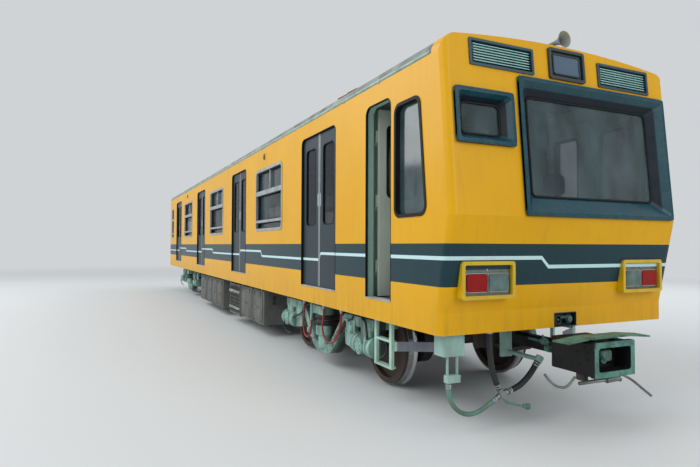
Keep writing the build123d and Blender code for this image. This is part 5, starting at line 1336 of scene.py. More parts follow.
@dataclass
class SideWindowDress(Dress):
    """Rubber and catches of the side windows."""

    # X of the middle and width
    windows: Pairs = ((3.595, 1.400), (-0.355, 1.400), (-4.305, 1.400), (-7.650, 0.480))
    # lower and upper end of each light
    lights: Pairs = ((1.795, 1.888), (1.928, 2.328), (2.398, 2.706))
    rim: float = 0.042
    gap: float = 0.006
    catch_z: float = 2.363
    post_z: float = 2.552

    def build(self) -> None:
        """Seals each light of each window; wide windows get two catches and a post in their upper lights."""
        for side in Side:
            rubber, metal = Shell(), Shell()
            for centre, width in self.windows:
                reach = width / 2 - self.rim - self.gap
                across = [-side.value * centre + end * reach for end in ENDS]
                for low, high in self.lights:
                    rise = (low + self.gap, high - self.gap)
                    rubber.loop(side_board(side, 1.268), across, rise, 0.020, 0.012, 0.004, 0.026, steps=3)
                if width > 1.0:
                    for shift in (-0.42, 0.42):
                        metal.box(side.at(centre + shift, 1.302, self.catch_z), (0.050, 0.022, 0.022), 0.005)
                    metal.box(side.at(centre, 1.262, self.post_z), (0.024, 0.030, 0.308), 0.004)
            self.put(rubber, f"side_light_seals_{side.tag}", "seal_black", "gasket")
            self.put(metal, f"side_light_catches_{side.tag}", "frame_alloy", "window_frame")


@dataclass
class FrontDress(Dress):
    """Seals, sign face, lenses and the plug socket of the cab's front."""

    # lowest and highest Y, then lower and upper end over the body's lower edge
    panes: tuple[Place, ...] = ((-0.440, 1.050, 1.116, 1.972), (-1.130, -0.732, 1.592, 1.857))
    rims: tuple[Place, ...] = ((-0.575, 1.225, 0.945, 2.112), (-1.225, -0.637, 1.502, 1.947))
    sign: Place = (-0.184, 0.184, 2.168, 2.392)
    lamp_x: float = 8.271
    lamp_reach: Span = (0.662, 1.130)
    lens_start: float = 0.0223
    lens_width: float = 0.2057
    lens_pitch: float = 0.2177
    lens_rise: Span = (1.164, 1.312)
    socket_z: float = 0.890

    def inset(self, opening: Place, across: float, up: float) -> tuple[Place, Place]:
        """An opening's ends across and up the upper face, drawn in on all sides."""
        y_low, y_high, low, high = opening
        return (y_low + across, y_high - across), (up_face(low) + up, up_face(high) - up)

    def face(self) -> None:
        """Seals the panes, trims the frames and glazes the route sign."""
        rubber, trim, sign, rim = Shell(), Shell(), Shell(), Shell()
        for pane, frame_rim in zip(self.panes, self.rims):
            rubber.loop(FACE_BOARD, *self.inset(pane, 0.006, 0.006), 0.045, 0.018, 0.010, 0.004, -0.057)
            trim.loop(FACE_BOARD, *self.inset(frame_rim, 0.010, 0.010), 0.010, 0.020, 0.0025, 0.028, 0.030)
        across, rise = self.inset(self.sign, 0.035, 0.030)
        half = ((across[1] - across[0]) / 2, (rise[1] - rise[0]) / 2, 0.004)
        sign.add(FACE_BOARD.set_down(rounded_box(half, 0.003), (sum(across) / 2, sum(rise) / 2), 0.004))
        rim.loop(FACE_BOARD, *self.inset(self.sign, 0.030, 0.025), 0.022, 0.016, 0.016, 0.002)
        self.put(rubber, "front_pane_seals", "seal_black", "gasket")
        self.put(trim, "front_frame_trim", "front_frame_grey", "front_frame")
        self.put(sign, "route_sign_pane", "sign_glass", "sign_case")
        self.put(rim, "route_sign_rim", "sign_case_black", "sign_case")

    def lamps(self) -> None:
        """Rings the two lenses of each lamp with bright rims and screws."""
        bright = Shell()
        for side in Side:
            low, high = sorted(side.value * reach for reach in self.lamp_reach)
            for number in range(2):
                start = low + self.lens_start + number * self.lens_pitch
                across = (start, start + self.lens_width)
                bright.loop(cross_board(self.lamp_x, 1.0), across, self.lens_rise, 0.020, 0.009, 0.010, 0.004)
            screws = ((low + 0.016, 1.150), (high - 0.016, 1.150), ((low + high) / 2, 1.340))
            bright.bolts([(self.lamp_x, y, z) for y, z in screws], AHEAD, 0.006, 0.005)
        self.put(bright, "lamp_rims", "rail_steel", "lamp_lens")

    def socket(self) -> None:
        """Fills the notch over the coupler with a black housing, a plug and its lid."""
        case, plug = Shell(), Shell()
        case.boxes(
            (8.146, 0.020, 0.8895, 0.010, 0.258, 0.125, 0.003),
            (8.174, -0.106, 0.8895, 0.066, 0.006, 0.125, 0.002),
            (8.174, 0.146, 0.8895, 0.066, 0.006, 0.125, 0.002),
            (8.174, 0.020, 0.949, 0.066, 0.258, 0.006, 0.002),
            (8.180, 0.020, 0.832, 0.054, 0.250, 0.008, 0.003),
        )
        cup = [(0, 0.042), (0.040, 0.042), (0.044, 0.038), (0.044, 0.030), (0.014, 0.030)]
        for y in (-0.055, 0.075):
            case.turn(cup, (8.150, y, self.socket_z), AHEAD, 20)
        core = [(0, 0.026), (0.052, 0.026), (0.056, 0.022), (0.056, 0.012), (0.066, 0.010)]
        plug.turn(core, (8.152, 0.075, self.socket_z), AHEAD, 18)
        plug.box((8.196, 0.010, self.socket_z + 0.020), (0.014, 0.090, 0.026), 0.004)
        plug.rod((8.150, -0.055, self.socket_z), (8.196, -0.055, self.socket_z), 0.010)
        self.put(case, "front_socket_case", "sign_case_black", "sign_case")
        self.put(plug, "front_socket_plugs", "coupler_mint", "fitting_metal")

    def build(self) -> None:
        """Adds every front fitting."""
        self.face()
        self.lamps()
        self.socket()


@dataclass
class BogieDress(Dress):
    """Covers, bolts, dampers, clamp rings and brakes of the two bogies."""

    cap_y: float = 1.150
    spring_y: float = 1.010
    wheel_y: float = 0.752
    block_radius: float = 0.458
    cover: Pairs = ((0, 0.080), (0.006, 0.080), (0.009, 0.074), (0.009, 0.050), (0.016, 0.046), (0.018, 0.0))
    collar: Pairs = ((-0.012, 0.100), (-0.012, 0.113), (0.012, 0.113), (0.012, 0.100))
    clamp: Pairs = ((-0.006, 0.122), (-0.006, 0.134), (0.006, 0.134), (0.006, 0.122))
    damper: tuple[Spot, Spot] = ((0.430, 1.106, 0.400), (0.790, 1.106, 0.655))
    # places ahead of the bogie's middle, the radius and the sides of the pipe and the cables
    runs: tuple[tuple[tuple[Spot, ...], float, int], ...] = (
        (((-1.28, 0.900, 0.765), (-0.80, 0.900, 0.768), (-0.46, 0.890, 0.640), (-0.40, 0.890, 0.560)), 0.013, 8),
        (((-0.350, 1.090, 0.755), (-0.520, 1.105, 0.700), (-0.640, 1.120, 0.600), (-0.800, 1.125, 0.545),
          (-0.960, 1.135, 0.500)), 0.012, 10),
        (((-1.200, 1.165, 0.440), (-1.290, 1.160, 0.360), (-1.250, 1.130, 0.270), (-1.120, 1.100, 0.250)), 0.010, 10),
        (((1.150, 1.080, 0.735), (1.290, 1.110, 0.715), (1.345, 1.125, 0.640), (1.330, 1.110, 0.540),
          (1.290, 1.100, 0.500)), 0.013, 10),
        (((0.960, 1.086, 0.760), (0.900, 1.090, 0.700), (0.700, 1.090, 0.640), (0.620, 1.090, 0.560),
          (0.660, 1.088, 0.480)), 0.009, 10),
    )

    def axlebox(self, shells: Sequence[Shell], middle: float, side: Side, end: int) -> None:
        """Dresses one axlebox: cover, collars, cheek and bolts, with the brake block inside it.

        Args:
            shells: the mint, steel and black shells that take the parts.
            middle: X of the bogie's middle.
            side: the car's side.
            end: 1 for the leading axle, -1 for the trailing one.
        """
        mint, steel, black = shells
        axle, out = middle + end * AXLE_REACH, side.at(0, 1, 0)
        mint.turn(self.cover, side.at(axle, self.cap_y, AXLE_Z), out, 28)
        for reach, way in product((0.13, 0.21), ENDS):
            mint.turn(self.collar, side.at(axle + way * reach, 1.040, AXLE_Z), AHEAD, 28)
        mint.boxes(
            (*side.at(middle + end * 0.84, 1.088, 0.600), 0.150, 0.012, 0.130, 0.004),
            (*side.at(middle + end * 1.330, 1.060, 0.610), 0.060, 0.040, 0.110, 0.008),
            (*side.at(middle + end * 0.300, 1.085, 0.330), 0.120, 0.030, 0.030, 0.006),
        )
        turn = turns(8) + 0.2
        ring = np.stack([0.063 * np.cos(turn), np.zeros(8), 0.063 * np.sin(turn)], axis=-1)
        steel.bolts(ring + side.at(axle, self.cap_y + 0.006, AXLE_Z), out, 0.0085, 0.008)
        corners = product((-0.055, 0.055), (-0.045, 0.045))
        steel.bolts([side.at(middle + end * (0.84 + dx), 1.094, 0.600 + dz) for dx, dz in corners], out, 0.009, 0.008)
        turn = np.linspace(-0.42, 0.42, 9) + (math.pi if end > 0 else 0.0)
        block = np.stack([np.cos(turn), np.zeros(9), np.sin(turn)], axis=-1) * self.block_radius
        black.beam(block + side.at(axle, self.wheel_y, AXLE_Z), 0.036, 0.080, 0.006, SIDEWAYS)
        hanger = vec(*side.at(middle + end * (AXLE_REACH - 0.500), self.wheel_y, AXLE_Z))
        black.beam(np.array([hanger, hanger + vec(0, 0, 0.20)]), 0.030, 0.026, 0.005, SIDEWAYS)

    def dress(self, name: str, middle: float) -> None:
        """Dresses one bogie.

        Args:
            name: its name.
            middle: X of its middle.
        """
        mint, steel, black = Shell(), Shell(), Shell()
        for side in Side:
            foot, head = (vec(*side.at(middle + forward, y, z)) for forward, y, z in self.damper)
            black.rod(foot + (head - foot) * 0.38, head, 0.024, 18, 0.003)
            for end in ENDS:
                self.axlebox((mint, steel, black), middle, side, end)
            mint.boxes(
                (*side.at(middle + 0.430, 1.086, 0.395), 0.070, 0.044, 0.070, 0.008),
                (*side.at(middle + 0.790, 1.086, 0.655), 0.060, 0.044, 0.080, 0.008),
                (*side.at(middle - 0.430, 1.086, 0.395), 0.070, 0.044, 0.070, 0.008),
            )
            cap = [(0, 0.128), (0.014, 0.128), (0.014, 0.0)]
            mint.turn(cap, side.at(middle, self.spring_y, 0.502), UPWARD, 32)
            for z in (0.516, 0.5865, 0.657):
                steel.turn(self.clamp, side.at(middle, self.spring_y, z), UPWARD, 36)
            steel.rod(foot, foot + (head - foot) * 0.5, 0.011)
            for route, radius, sides in self.runs:
                places = [side.at(middle + forward, y, z) for forward, y, z in route]
                black.pipe(places, radius, sides, SIDEWAYS)
        for end in ENDS:
            ends = [(middle + end * 1.340, y, 0.690) for y in (-0.93, 0.93)]
            mint.beam(ends, 0.090, 0.110, 0.012, UPWARD)
        body = f"bogie_{name}"
        self.put(mint, f"bogie_fittings_{name}", "frame_mint", "bogie_mint", body)
        self.put(steel, f"bogie_bolting_{name}", "fitting_steel", "fitting_metal", body)
        self.put(black, f"bogie_dampers_{name}", "chassis_black", "frame_black", body)

    def build(self) -> None:
        """Dresses both bogies."""
        for name, middle in BOGIE_X.items():
            self.dress(name, middle)


@dataclass
class UnderfloorDress(Dress):
    """Doors, latches, ribs and cable runs of the equipment under the floor."""

    bay_front: float = 3.432
    bay_long: float = 6.937
    case_face: float = 1.190
    case_top: float = 0.768
    door_pitch: float = 0.62
    # side, rear and front end as parts of the bay, and lowest level
    table: tuple[tuple[Side, float, float, float], ...] = (
        (Side.RIGHT, 0.898, 0.773, 0.158),
        (Side.RIGHT, 0.764, 0.509, 0.158),
        (Side.RIGHT, 0.279, 0.163, 0.208),
        (Side.RIGHT, 0.155, 0.061, 0.208),
        (Side.LEFT, 0.898, 0.668, 0.208),
        (Side.LEFT, 0.245, 0.077, 0.188),
    )
    gland: Pairs = ((0, 0.030), (0.022, 0.030), (0.026, 0.024), (0.040, 0.022))
    rack_ends: Span = (0.415, 0.287)
    rack_skirt: Pairs = (
        (0, 0.012), (0.006, 0.026), (0.012, 0.026), (0.018, 0.014), (0.024, 0.026), (0.030, 0.026), (0.036, 0.012),
    )
    # Y and radius
    conduits: Pairs = ((0.965, 0.019), (1.008, 0.014), (1.055, 0.022))

    def in_bay(self, part: float) -> float:
        """X of a part of the way between the bogies."""
        return self.bay_front - part * self.bay_long

    def door(self, doors: Shell, metal: Shell, side: Side, x: float, pitch: float, low: float) -> None:
        """Adds one door with its latches, locks and handle.

        Args:
            doors: the shell that takes the door.
            metal: the shell that takes its fittings.
            side: the car's side.
            x: X of the door's middle.
            pitch: the doors' pitch.
            low: the case's lowest level.
        """
        face, middle, tall = self.case_face, (low + self.case_top) / 2, self.case_top - low
        doors.box(side.at(x, face + 0.004, middle), (pitch - 0.05, 0.014, tall - 0.07), 0.005, 2)
        doors.box(side.at(x, face + 0.010, middle + tall * 0.02), (pitch - 0.20, 0.008, tall - 0.24), 0.003)
        for shift in (-0.32, 0.32):
            hinge = x + shift * pitch
            metal.box(side.at(hinge, face + 0.018, self.case_top - 0.065), (0.036, 0.020, 0.060), 0.005)
            metal.rod(side.at(hinge, face + 0.010, low + 0.050), side.at(hinge, face + 0.028, low + 0.050), 0.012)
        bow = ((-0.07, 0.010), (-0.07, 0.040), (0.07, 0.040), (0.07, 0.010))
        metal.pipe([side.at(x + dx, face + out, middle) for dx, out in bow], 0.007, 8, steps=5)

    def rack(self) -> None:
        """Sets white insulators on the resistor rack, and guards its side with wires."""
        rear_x, front_x = map(self.in_bay, self.rack_ends)
        pots, wires = Shell(), Shell()
        for x, z in product(np.linspace(rear_x + 0.10, front_x - 0.10, 6), (0.300, 0.620)):
            pots.turn(self.rack_skirt, (x, -1.185, z), (0, -1, 0), 14)
        for z in np.linspace(0.225, 0.715, 8):
            wires.rod((rear_x + 0.02, -1.194, z), (front_x - 0.02, -1.194, z), 0.003, 6, 0.0005)
        self.put(pots, "rack_insulators", "insulator_white", "rack_metal")
        self.put(wires, "rack_guard_wires", "fitting_steel", "rack_metal")

    def build(self) -> None:
        """Dresses the cases of both sides, runs the conduits and dresses the rack."""
        doors, metal, dark = Shell(), Shell(), Shell()
        for side, back, front, low in self.table:
            rear_x, front_x = self.in_bay(back), self.in_bay(front)
            count = max(1, round((front_x - rear_x) / self.door_pitch))
            pitch = (front_x - rear_x - 0.06) / count
            middle, tall = (low + self.case_top) / 2, self.case_top - low
            for number in range(count):
                self.door(doors, metal, side, rear_x + 0.03 + (number + 0.5) * pitch, pitch, low)
            for x in np.arange(rear_x + 0.10, front_x, 0.28):
                dark.box(side.at(x, 0.640, middle), (0.024, 0.024, tall - 0.04), 0.003)
            for (end_x, way), lift in product(((rear_x, -1), (front_x, 1)), (0.08, 0.16)):
                dark.turn(self.gland, side.at(end_x, 1.02, middle + lift), (way, 0, 0), 12)
        for side, (y, radius) in product(Side, self.conduits):
            start, end = (side.at(x, y, 0.846 - radius * 0.6) for x in (-7.60, 7.60))
            dark.rod(start, end, radius, 10)
        self.put(doors, "case_doors", "case_grey", "rack_metal")
        self.put(metal, "case_latches", "fitting_steel", "fitting_metal")
        self.put(dark, "underfloor_conduits", "chassis_black", "frame_black")
        self.rack()


@dataclass
class CouplerDress(Dress):
    """Levers, pipes and bolts of the two couplers."""

    face: float = 8.720
    # places of the levers and small pipes, and the radius
    rods: tuple[tuple[tuple[Spot, ...], float], ...] = (
        (((8.600, -0.262, 0.452), (8.640, -0.140, 0.466), (8.672, -0.030, 0.476)), 0.015),
        (((8.672, -0.045, 0.474), (8.680, 0.020, 0.480), (8.684, 0.080, 0.484)), 0.026),
        (((8.660, 0.100, 0.488), (8.606, 0.210, 0.478), (8.608, 0.330, 0.425), (8.604, 0.455, 0.345),
          (8.598, 0.585, 0.262)), 0.011),
        (((8.560, -0.580, 0.545), (8.566, -0.530, 0.488), (8.572, -0.455, 0.440), (8.580, -0.370, 0.436),
          (8.590, -0.290, 0.505)), 0.010),
        (((8.500, -0.020, 0.500), (8.480, 0.060, 0.440), (8.480, 0.160, 0.430), (8.500, 0.220, 0.500)), 0.008),
    )
    elbow: tuple[Spot, ...] = (
        (7.900, -0.110, 0.690), (8.040, -0.120, 0.692), (8.110, -0.150, 0.705), (8.150, -0.195, 0.712),
    )
    cock: Pairs = ((0, 0.020), (0.010, 0.030), (0.052, 0.030), (0.060, 0.020), (0.086, 0.018))
    # how far along the shoe each station stands, and how its ring shrinks there
    stations: Pairs = ((0.0, 1.0), (0.55, 0.88), (0.85, 0.82), (0.95, 0.74), (0.99, 0.62), (1.0, 0.40))
    ring: Pairs = (
        (-0.080, 0.026), (-0.080, 0.044), (-0.072, 0.052), (0.068, 0.052), (0.078, 0.042), (0.080, -0.040),
        (0.070, -0.052), (0.006, -0.056), (-0.010, -0.050), (-0.074, 0.012),
    )

    def shoe(self) -> Points:
        """The cone's shoe on the front coupler.

        Formula: a wedge with blunt corners at each of six stations along X, whose half sizes shrink and whose
        middle rises in a straight line from the base to the nose.

        Returns:
            A grid closed round its second index.
        """
        share, shrink = np.array(self.stations).T[:, :, None]
        ring = np.array(self.ring)
        y = -0.086 + ring[:, 0] * shrink
        return np.stack([8.575 + 0.141 * share + 0.0 * y, y, 0.660 + 0.014 * share + ring[:, 1] * shrink], axis=-1)

    def build(self) -> None:
        """Dresses both couplers; the rear one is the front one turned half round."""
        for body, flip in (("front_coupler", 1), ("rear_coupler", -1)):
            turn = vec(flip, flip, 1)
            steel, dark, mint = Shell(), Shell(), Shell()
            for route, radius in self.rods:
                steel.pipe(np.array(route) * turn, radius, 12, AHEAD)
            heads = product((-0.205, 0.205), (0.530, 0.644, 0.758))
            steel.bolts([vec(self.face - 0.002, y, z) * turn for y, z in heads], AHEAD * turn, 0.010, 0.004)
            dark.box(vec(8.560, 0.0, 0.500) * turn, (0.160, 0.260, 0.030), 0.006)
            dark.box(vec(8.530, -0.150, 0.480) * turn, (0.090, 0.050, 0.060), 0.008)
            for y, z, end_x, radius in ((0.020, 0.478, 8.690, 0.022), (0.085, 0.470, 8.700, 0.016)):
                dark.rod(vec(8.620, y, z) * turn, vec(end_x, y, z) * turn, radius)
            mint.add(self.shoe() * turn)
            for y, z in ((-0.200, 0.712), (-0.150, 0.645)):
                mint.turn(self.cock, vec(8.150, y, z) * turn, vec(1.0, -0.25, 0.0) * turn, 16)
                mint.rod(vec(8.185, y, z) * turn, vec(8.185, y - 0.03, z + 0.055) * turn, 0.009)
            mint.pipe(np.array(self.elbow) * turn, 0.013, 12)
            self.put(steel, f"{body}_levers", "fitting_steel", "fitting_metal", body)
            self.put(dark, f"{body}_works", "chassis_black", "frame_black", body)
            self.put(mint, f"{body}_shoe", "coupler_mint", "fitting_metal", body)


@dataclass
class RoofDress(Dress):
    """Seams of the roof, and the insulators and springs of the collector."""

    crown: float = 3.266
    radius: float = 10.040
    half: float = 1.160
    base_x: float = BOGIE_X["front"]
    base_z: float = 3.416
    skirt: Pairs = (
        (0, 0.044), (0.010, 0.062), (0.018, 0.062), (0.028, 0.044), (0.038, 0.062), (0.046, 0.062), (0.056, 0.044),
        (0.066, 0.062), (0.074, 0.062), (0.084, 0.044),
    )
    coils: int = 16
    coil_radius: float = 0.022

    def spring(self, shell: Shell, y: float) -> None:
        """Adds one spring with the rod in it and its end plates.

        Formula: the coil's turns run round a circle and advance evenly along X.

        Args:
            shell: the shell that takes it.
            y: Y of its middle.
        """
        turn = np.linspace(0, 2 * math.pi * self.coils, self.coils * 12)
        x = self.base_x - 0.33 + 0.40 * turn / turn[-1]
        z = self.base_z + 0.060
        coil = [x, y + self.coil_radius * np.cos(turn), z + self.coil_radius * np.sin(turn)]
        shell.add(carried(np.stack(coil, axis=-1), circle(0.005, 6), AHEAD))
        shell.rod((self.base_x - 0.36, y, z), (self.base_x + 0.12, y, z), 0.006)
        for end in (-0.36, 0.11):
            shell.box((self.base_x + end, y, self.base_z + 0.045), (0.020, 0.050, 0.075), 0.004)

    def build(self) -> None:
        """Dresses the roof and the collector; a seam is an arc of the crown's circle."""
        seams, skirts, springs = Shell(), Shell(), Shell()
        y = np.linspace(-self.half, self.half, 24)
        z = self.crown - self.radius + np.sqrt(self.radius**2 - y**2) + 0.001
        for x in np.arange(-7.55, 7.9, 1.10):
            seams.beam(np.stack([np.full(len(y), x), y, z], axis=-1), 0.036, 0.008, 0.002, UPWARD)
        for dx, dy in product((-0.535, 0.535), (-0.305, 0.305)):
            skirts.turn(self.skirt, (self.base_x + dx, dy, 3.300), UPWARD, 20)
        for dy in (-0.13, 0.13):
            self.spring(springs, dy)
        springs.box((self.base_x - 0.36, 0, self.base_z + 0.030), (0.050, 0.600, 0.020), 0.004)
        springs.box((self.base_x + 0.12, 0, self.base_z + 0.015), (0.050, 0.600, 0.030), 0.004)
        self.put(seams, "roof_seams", "roof_grey", "roof_paint")
        self.put(skirts, "collector_insulators", "insulator_white", "collector_metal")
        self.put(springs, "collector_springs", "fitting_steel", "collector_metal")


@dataclass
class EndDress(Dress):
    """Rear end: window seals, grab irons, tail lamps and the foot plate."""

    lamp: Pairs = ((0, 0.060), (0.020, 0.060), (0.030, 0.050), (0.034, 0.0))
    # distance behind the wall and height
    grip: Pairs = ((0.0, 1.30), (0.060, 1.32), (0.060, 1.90), (0.0, 1.92))

    def build(self) -> None:
        """Dresses the rear end."""
        rubber, metal, lamps = Shell(), Shell(), Shell()
        for side in Side:
            across = [side.value * y for y in (0.480, 1.060)]
            rubber.loop(cross_board(REAR_X, -1.0), across, (1.826, 2.676), 0.080, 0.040, 0.010, 0.030)
            metal.pipe([side.at(REAR_X - out, -0.430, z) for out, z in self.grip], 0.013, 10, SIDEWAYS, 6)
            lamps.turn(self.lamp, side.at(REAR_X, 1.100, 1.180), (-1, 0, 0), 24)
        metal.box((REAR_X - 0.100, 0.0, FLOOR_Z - 0.004), (0.200, 0.660, 0.012), 0.004)
        for y in (-0.260, 0.260):
            metal.box((REAR_X - 0.060, y, FLOOR_Z - 0.040), (0.120, 0.020, 0.070), 0.004)
        self.put(rubber, "rear_pane_seals", "seal_black", "gasket")
        self.put(metal, "rear_grab_irons", "fitting_steel", "fitting_metal")
        self.put(lamps, "tail_lamps", "lens_red", "lamp_lens")


@dataclass
class SeatDress(Dress):
    """The driver's seat: crowned cushion, back and headrest with round edges on a pedestal."""

    seat_y: float = 0.610
    middle_x: float = 7.6725
    back_x: float = 7.505
    pedestal: Pairs = ((0, 0.088), (0.020, 0.088), (0.030, 0.045), (0.400, 0.045), (0.420, 0.085), (0.445, 0.085))

    def pad(self, half: Place, power: float, crown: float) -> Points:
        """A crowned pad round 0.

        Formula: a superellipsoid, the cosine and sine of the two turns raised to a power below 1 with their signs
        kept, so that its faces are nearly flat and its corners round; the broad faces rise by the crown.

        Args:
            half: half its sizes.
            power: the power, smaller for squarer corners.
            crown: how far the broad faces rise in their middles.

        Returns:
            A grid closed round its second index.
        """
        turn, rise = turns(48), np.linspace(-math.pi / 2, math.pi / 2, 25)[:, None]
        ring = signed_power(np.cos(rise), power)
        x = half[0] * ring * signed_power(np.cos(turn), power)
        y = half[1] * ring * signed_power(np.sin(turn), power)
        hump = (1 - (x / half[0]) ** 2) * (1 - (y / half[1]) ** 2)
        z = (half[2] * signed_power(np.sin(rise), power) + 0.0 * turn) * (1 + crown * hump)
        return np.stack([x, y, z], axis=-1)

    def build(self) -> None:
        """Builds the pads and the pedestal."""
        pads, stem = Shell(), Shell()
        pads.add(self.pad((0.185, 0.200, 0.034), 0.35, 0.30) + vec(self.middle_x + 0.02, self.seat_y, 1.512))
        for half, power, crown, z in (
            ((0.285, 0.198, 0.030), 0.35, 0.35, 1.765), ((0.110, 0.142, 0.030), 0.45, 0.30, 2.172)
        ):
            pads.add(self.pad(half, power, crown)[..., ::-1] + vec(self.back_x, self.seat_y, z))
        piece = self.put(pads, "driver_seat_pads", "cloth_black", "seat_fabric", sharp=60.0)
        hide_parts("driver_seat")
        stem.turn(self.pedestal, (self.middle_x, self.seat_y, FLOOR_Z), UPWARD, 28)
        for shift in (-0.06, 0.06):
            foot, head = ((self.back_x, self.seat_y + shift, z) for z in (2.02, 2.10))
            stem.rod(foot, head, 0.008)
        stem.box((self.middle_x, self.seat_y, 1.472), (0.36, 0.36, 0.016), 0.004)
        self.put(stem, "driver_seat_frame", "fitting_steel", "fitting_metal")


@dataclass
class BodyTrim(Dress):
    """Edge rails of the roof, sill ribs, grab handles at the cab doors and the small side lamps."""

    rail_z: float = 3.086
    handle_y: float = 1.252
    # X and Z
    handle: Pairs = ((7.438, 1.588), (7.390, 1.600), (7.390, 1.976), (7.438, 1.988))
    foot: Pairs = ((0, 0.022), (0.004, 0.022), (0.006, 0.014))
    side_lamps: tuple[float, ...] = (3.380, -4.450)

    def sills(self, ribs: Shell, side: Side) -> None:
        """Lays ribs on the sills of the doors and of the cab door, and screws the door sills down.

        Args:
            ribs: the shell that takes them.
            side: the car's side.
        """
        for x in DOORS:
            for y in (1.222, 1.284, 1.293):
                ribs.box(side.at(x, y, FLOOR_Z + 0.011), (1.080, 0.004, 0.003), 0.0008)
            screws = [side.at(x + dx, 1.3005, FLOOR_Z + 0.002) for dx in (-0.45, 0, 0.45)]
            ribs.bolts(screws, side.at(0, 1, 0), 0.005, 0.003)
        for y in (1.225, 1.250, 1.275, 1.290):
            ribs.box(side.at(CAB_DOOR_X, y, FLOOR_Z + 0.011), (0.470, 0.004, 0.003), 0.0008)

    def build(self) -> None:
        """Adds the trim of both sides."""
        rails, ribs, handles, lamps = Shell(), Shell(), Shell(), Shell()
        for side in Side:
            rails.rod(side.at(-8.18, 1.292, self.rail_z), side.at(8.07, 1.292, self.rail_z), 0.019, 14, 0.003)
            for x in np.arange(-7.9, 8.0, 0.795):
                rails.box(side.at(x, 1.290, self.rail_z), (0.030, 0.042, 0.046), 0.004)
            self.sills(ribs, side)
            path = [side.at(x, self.handle_y, z) for x, z in self.handle]
            handles.pipe(path, 0.011, 12, SIDEWAYS, 7)
            for place in path[::3]:
                handles.turn(self.foot, place, (-1, 0, 0), 16)
            for x in self.side_lamps:
                lamps.box(side.at(x, 1.303, 2.930), (0.056, 0.012, 0.104), 0.005, 2)
                lamps.box(side.at(x, 1.311, 2.930), (0.040, 0.020, 0.084), 0.009, 3)
        self.put(rails, "roof_edge_rails", "rail_mint", "roof_paint")
        self.put(ribs, "sill_ribs", "sill_worn", "sill_metal")
        self.put(handles, "cab_grab_handles", "handle_white", "cab_door_paint")
        self.put(lamps, "side_lamps", "side_lamp_amber", "lamp_lens")


@dataclass
class CabDoorDress(Dress):
    """Pane rubbers, locks and inside handles of the two cab doors."""

    rise: Span = (2.016, 2.738)
    open_pane: Span = (-1.052, -0.722)
    closed_pane: Span = (6.983, 7.313)
    lock_z: float = 1.830
    grip_z: float = 1.790

    def seal(self, rubber: Shell, board: Board, across: Place, proud: float) -> None:
        """Seals a pane of a cab door on one face."""
        rubber.loop(board, across, self.rise, 0.052, 0.028, proud, 0.010)

    def grip(self, metal: Shell, pairs: Pairs) -> None:
        """Adds a lever handle along pairs of X and Y."""
        metal.pipe([(x, y, self.grip_z) for x, y in pairs], 0.008, 10, steps=5)

    def finish(self, rubber: Shell, metal: Shell, side: Side) -> None:
        """Puts the rubber and the lock on one cab door.

        Args:
            rubber: the gathered rubber.
            metal: the gathered lock.
            side: the door's side.
        """
        body = f"{side.tag}_cab_door"
        self.put(rubber, f"cab_door_{side.tag}_rubber", "seal_black", "gasket", body)
        self.put(metal, f"cab_door_{side.tag}_lock", "fitting_steel", "fitting_metal", body)

    def build(self) -> None:
        """Dresses the right door as it stands open and the left one as it stands shut."""
        rubber, metal = Shell(), Shell()
        for x, way, reach in ((6.930, 1.0, 0.020), (6.892, -1.0, 0.026)):
            face, tip = x + way * 0.004, x + way * reach
            self.seal(rubber, cross_board(x, way), [way * y for y in self.open_pane], 0.007)
            metal.box((face, -0.640, self.lock_z), (0.008, 0.050, 0.170), 0.003)
            self.grip(metal, ((face, -0.640), (tip, -0.640), (tip, -0.740)))
        metal.box((6.911, -0.5855, self.lock_z), (0.026, 0.005, 0.220), 0.002)
        self.finish(rubber, metal, Side.RIGHT)
        rubber, metal = Shell(), Shell()
        for y, way in ((1.205, 1), (1.167, -1)):
            board = Board((0.0, y, 0.0), (-float(way), 0.0, 0.0))
            self.seal(rubber, board, [-way * x for x in self.closed_pane], 0.004)
            metal.box((7.395, y + way * 0.002, self.lock_z), (0.050, 0.008, 0.170), 0.003)
        self.grip(metal, ((7.395, 1.163), (7.395, 1.141), (7.295, 1.141)))
        self.finish(rubber, metal, Side.LEFT)


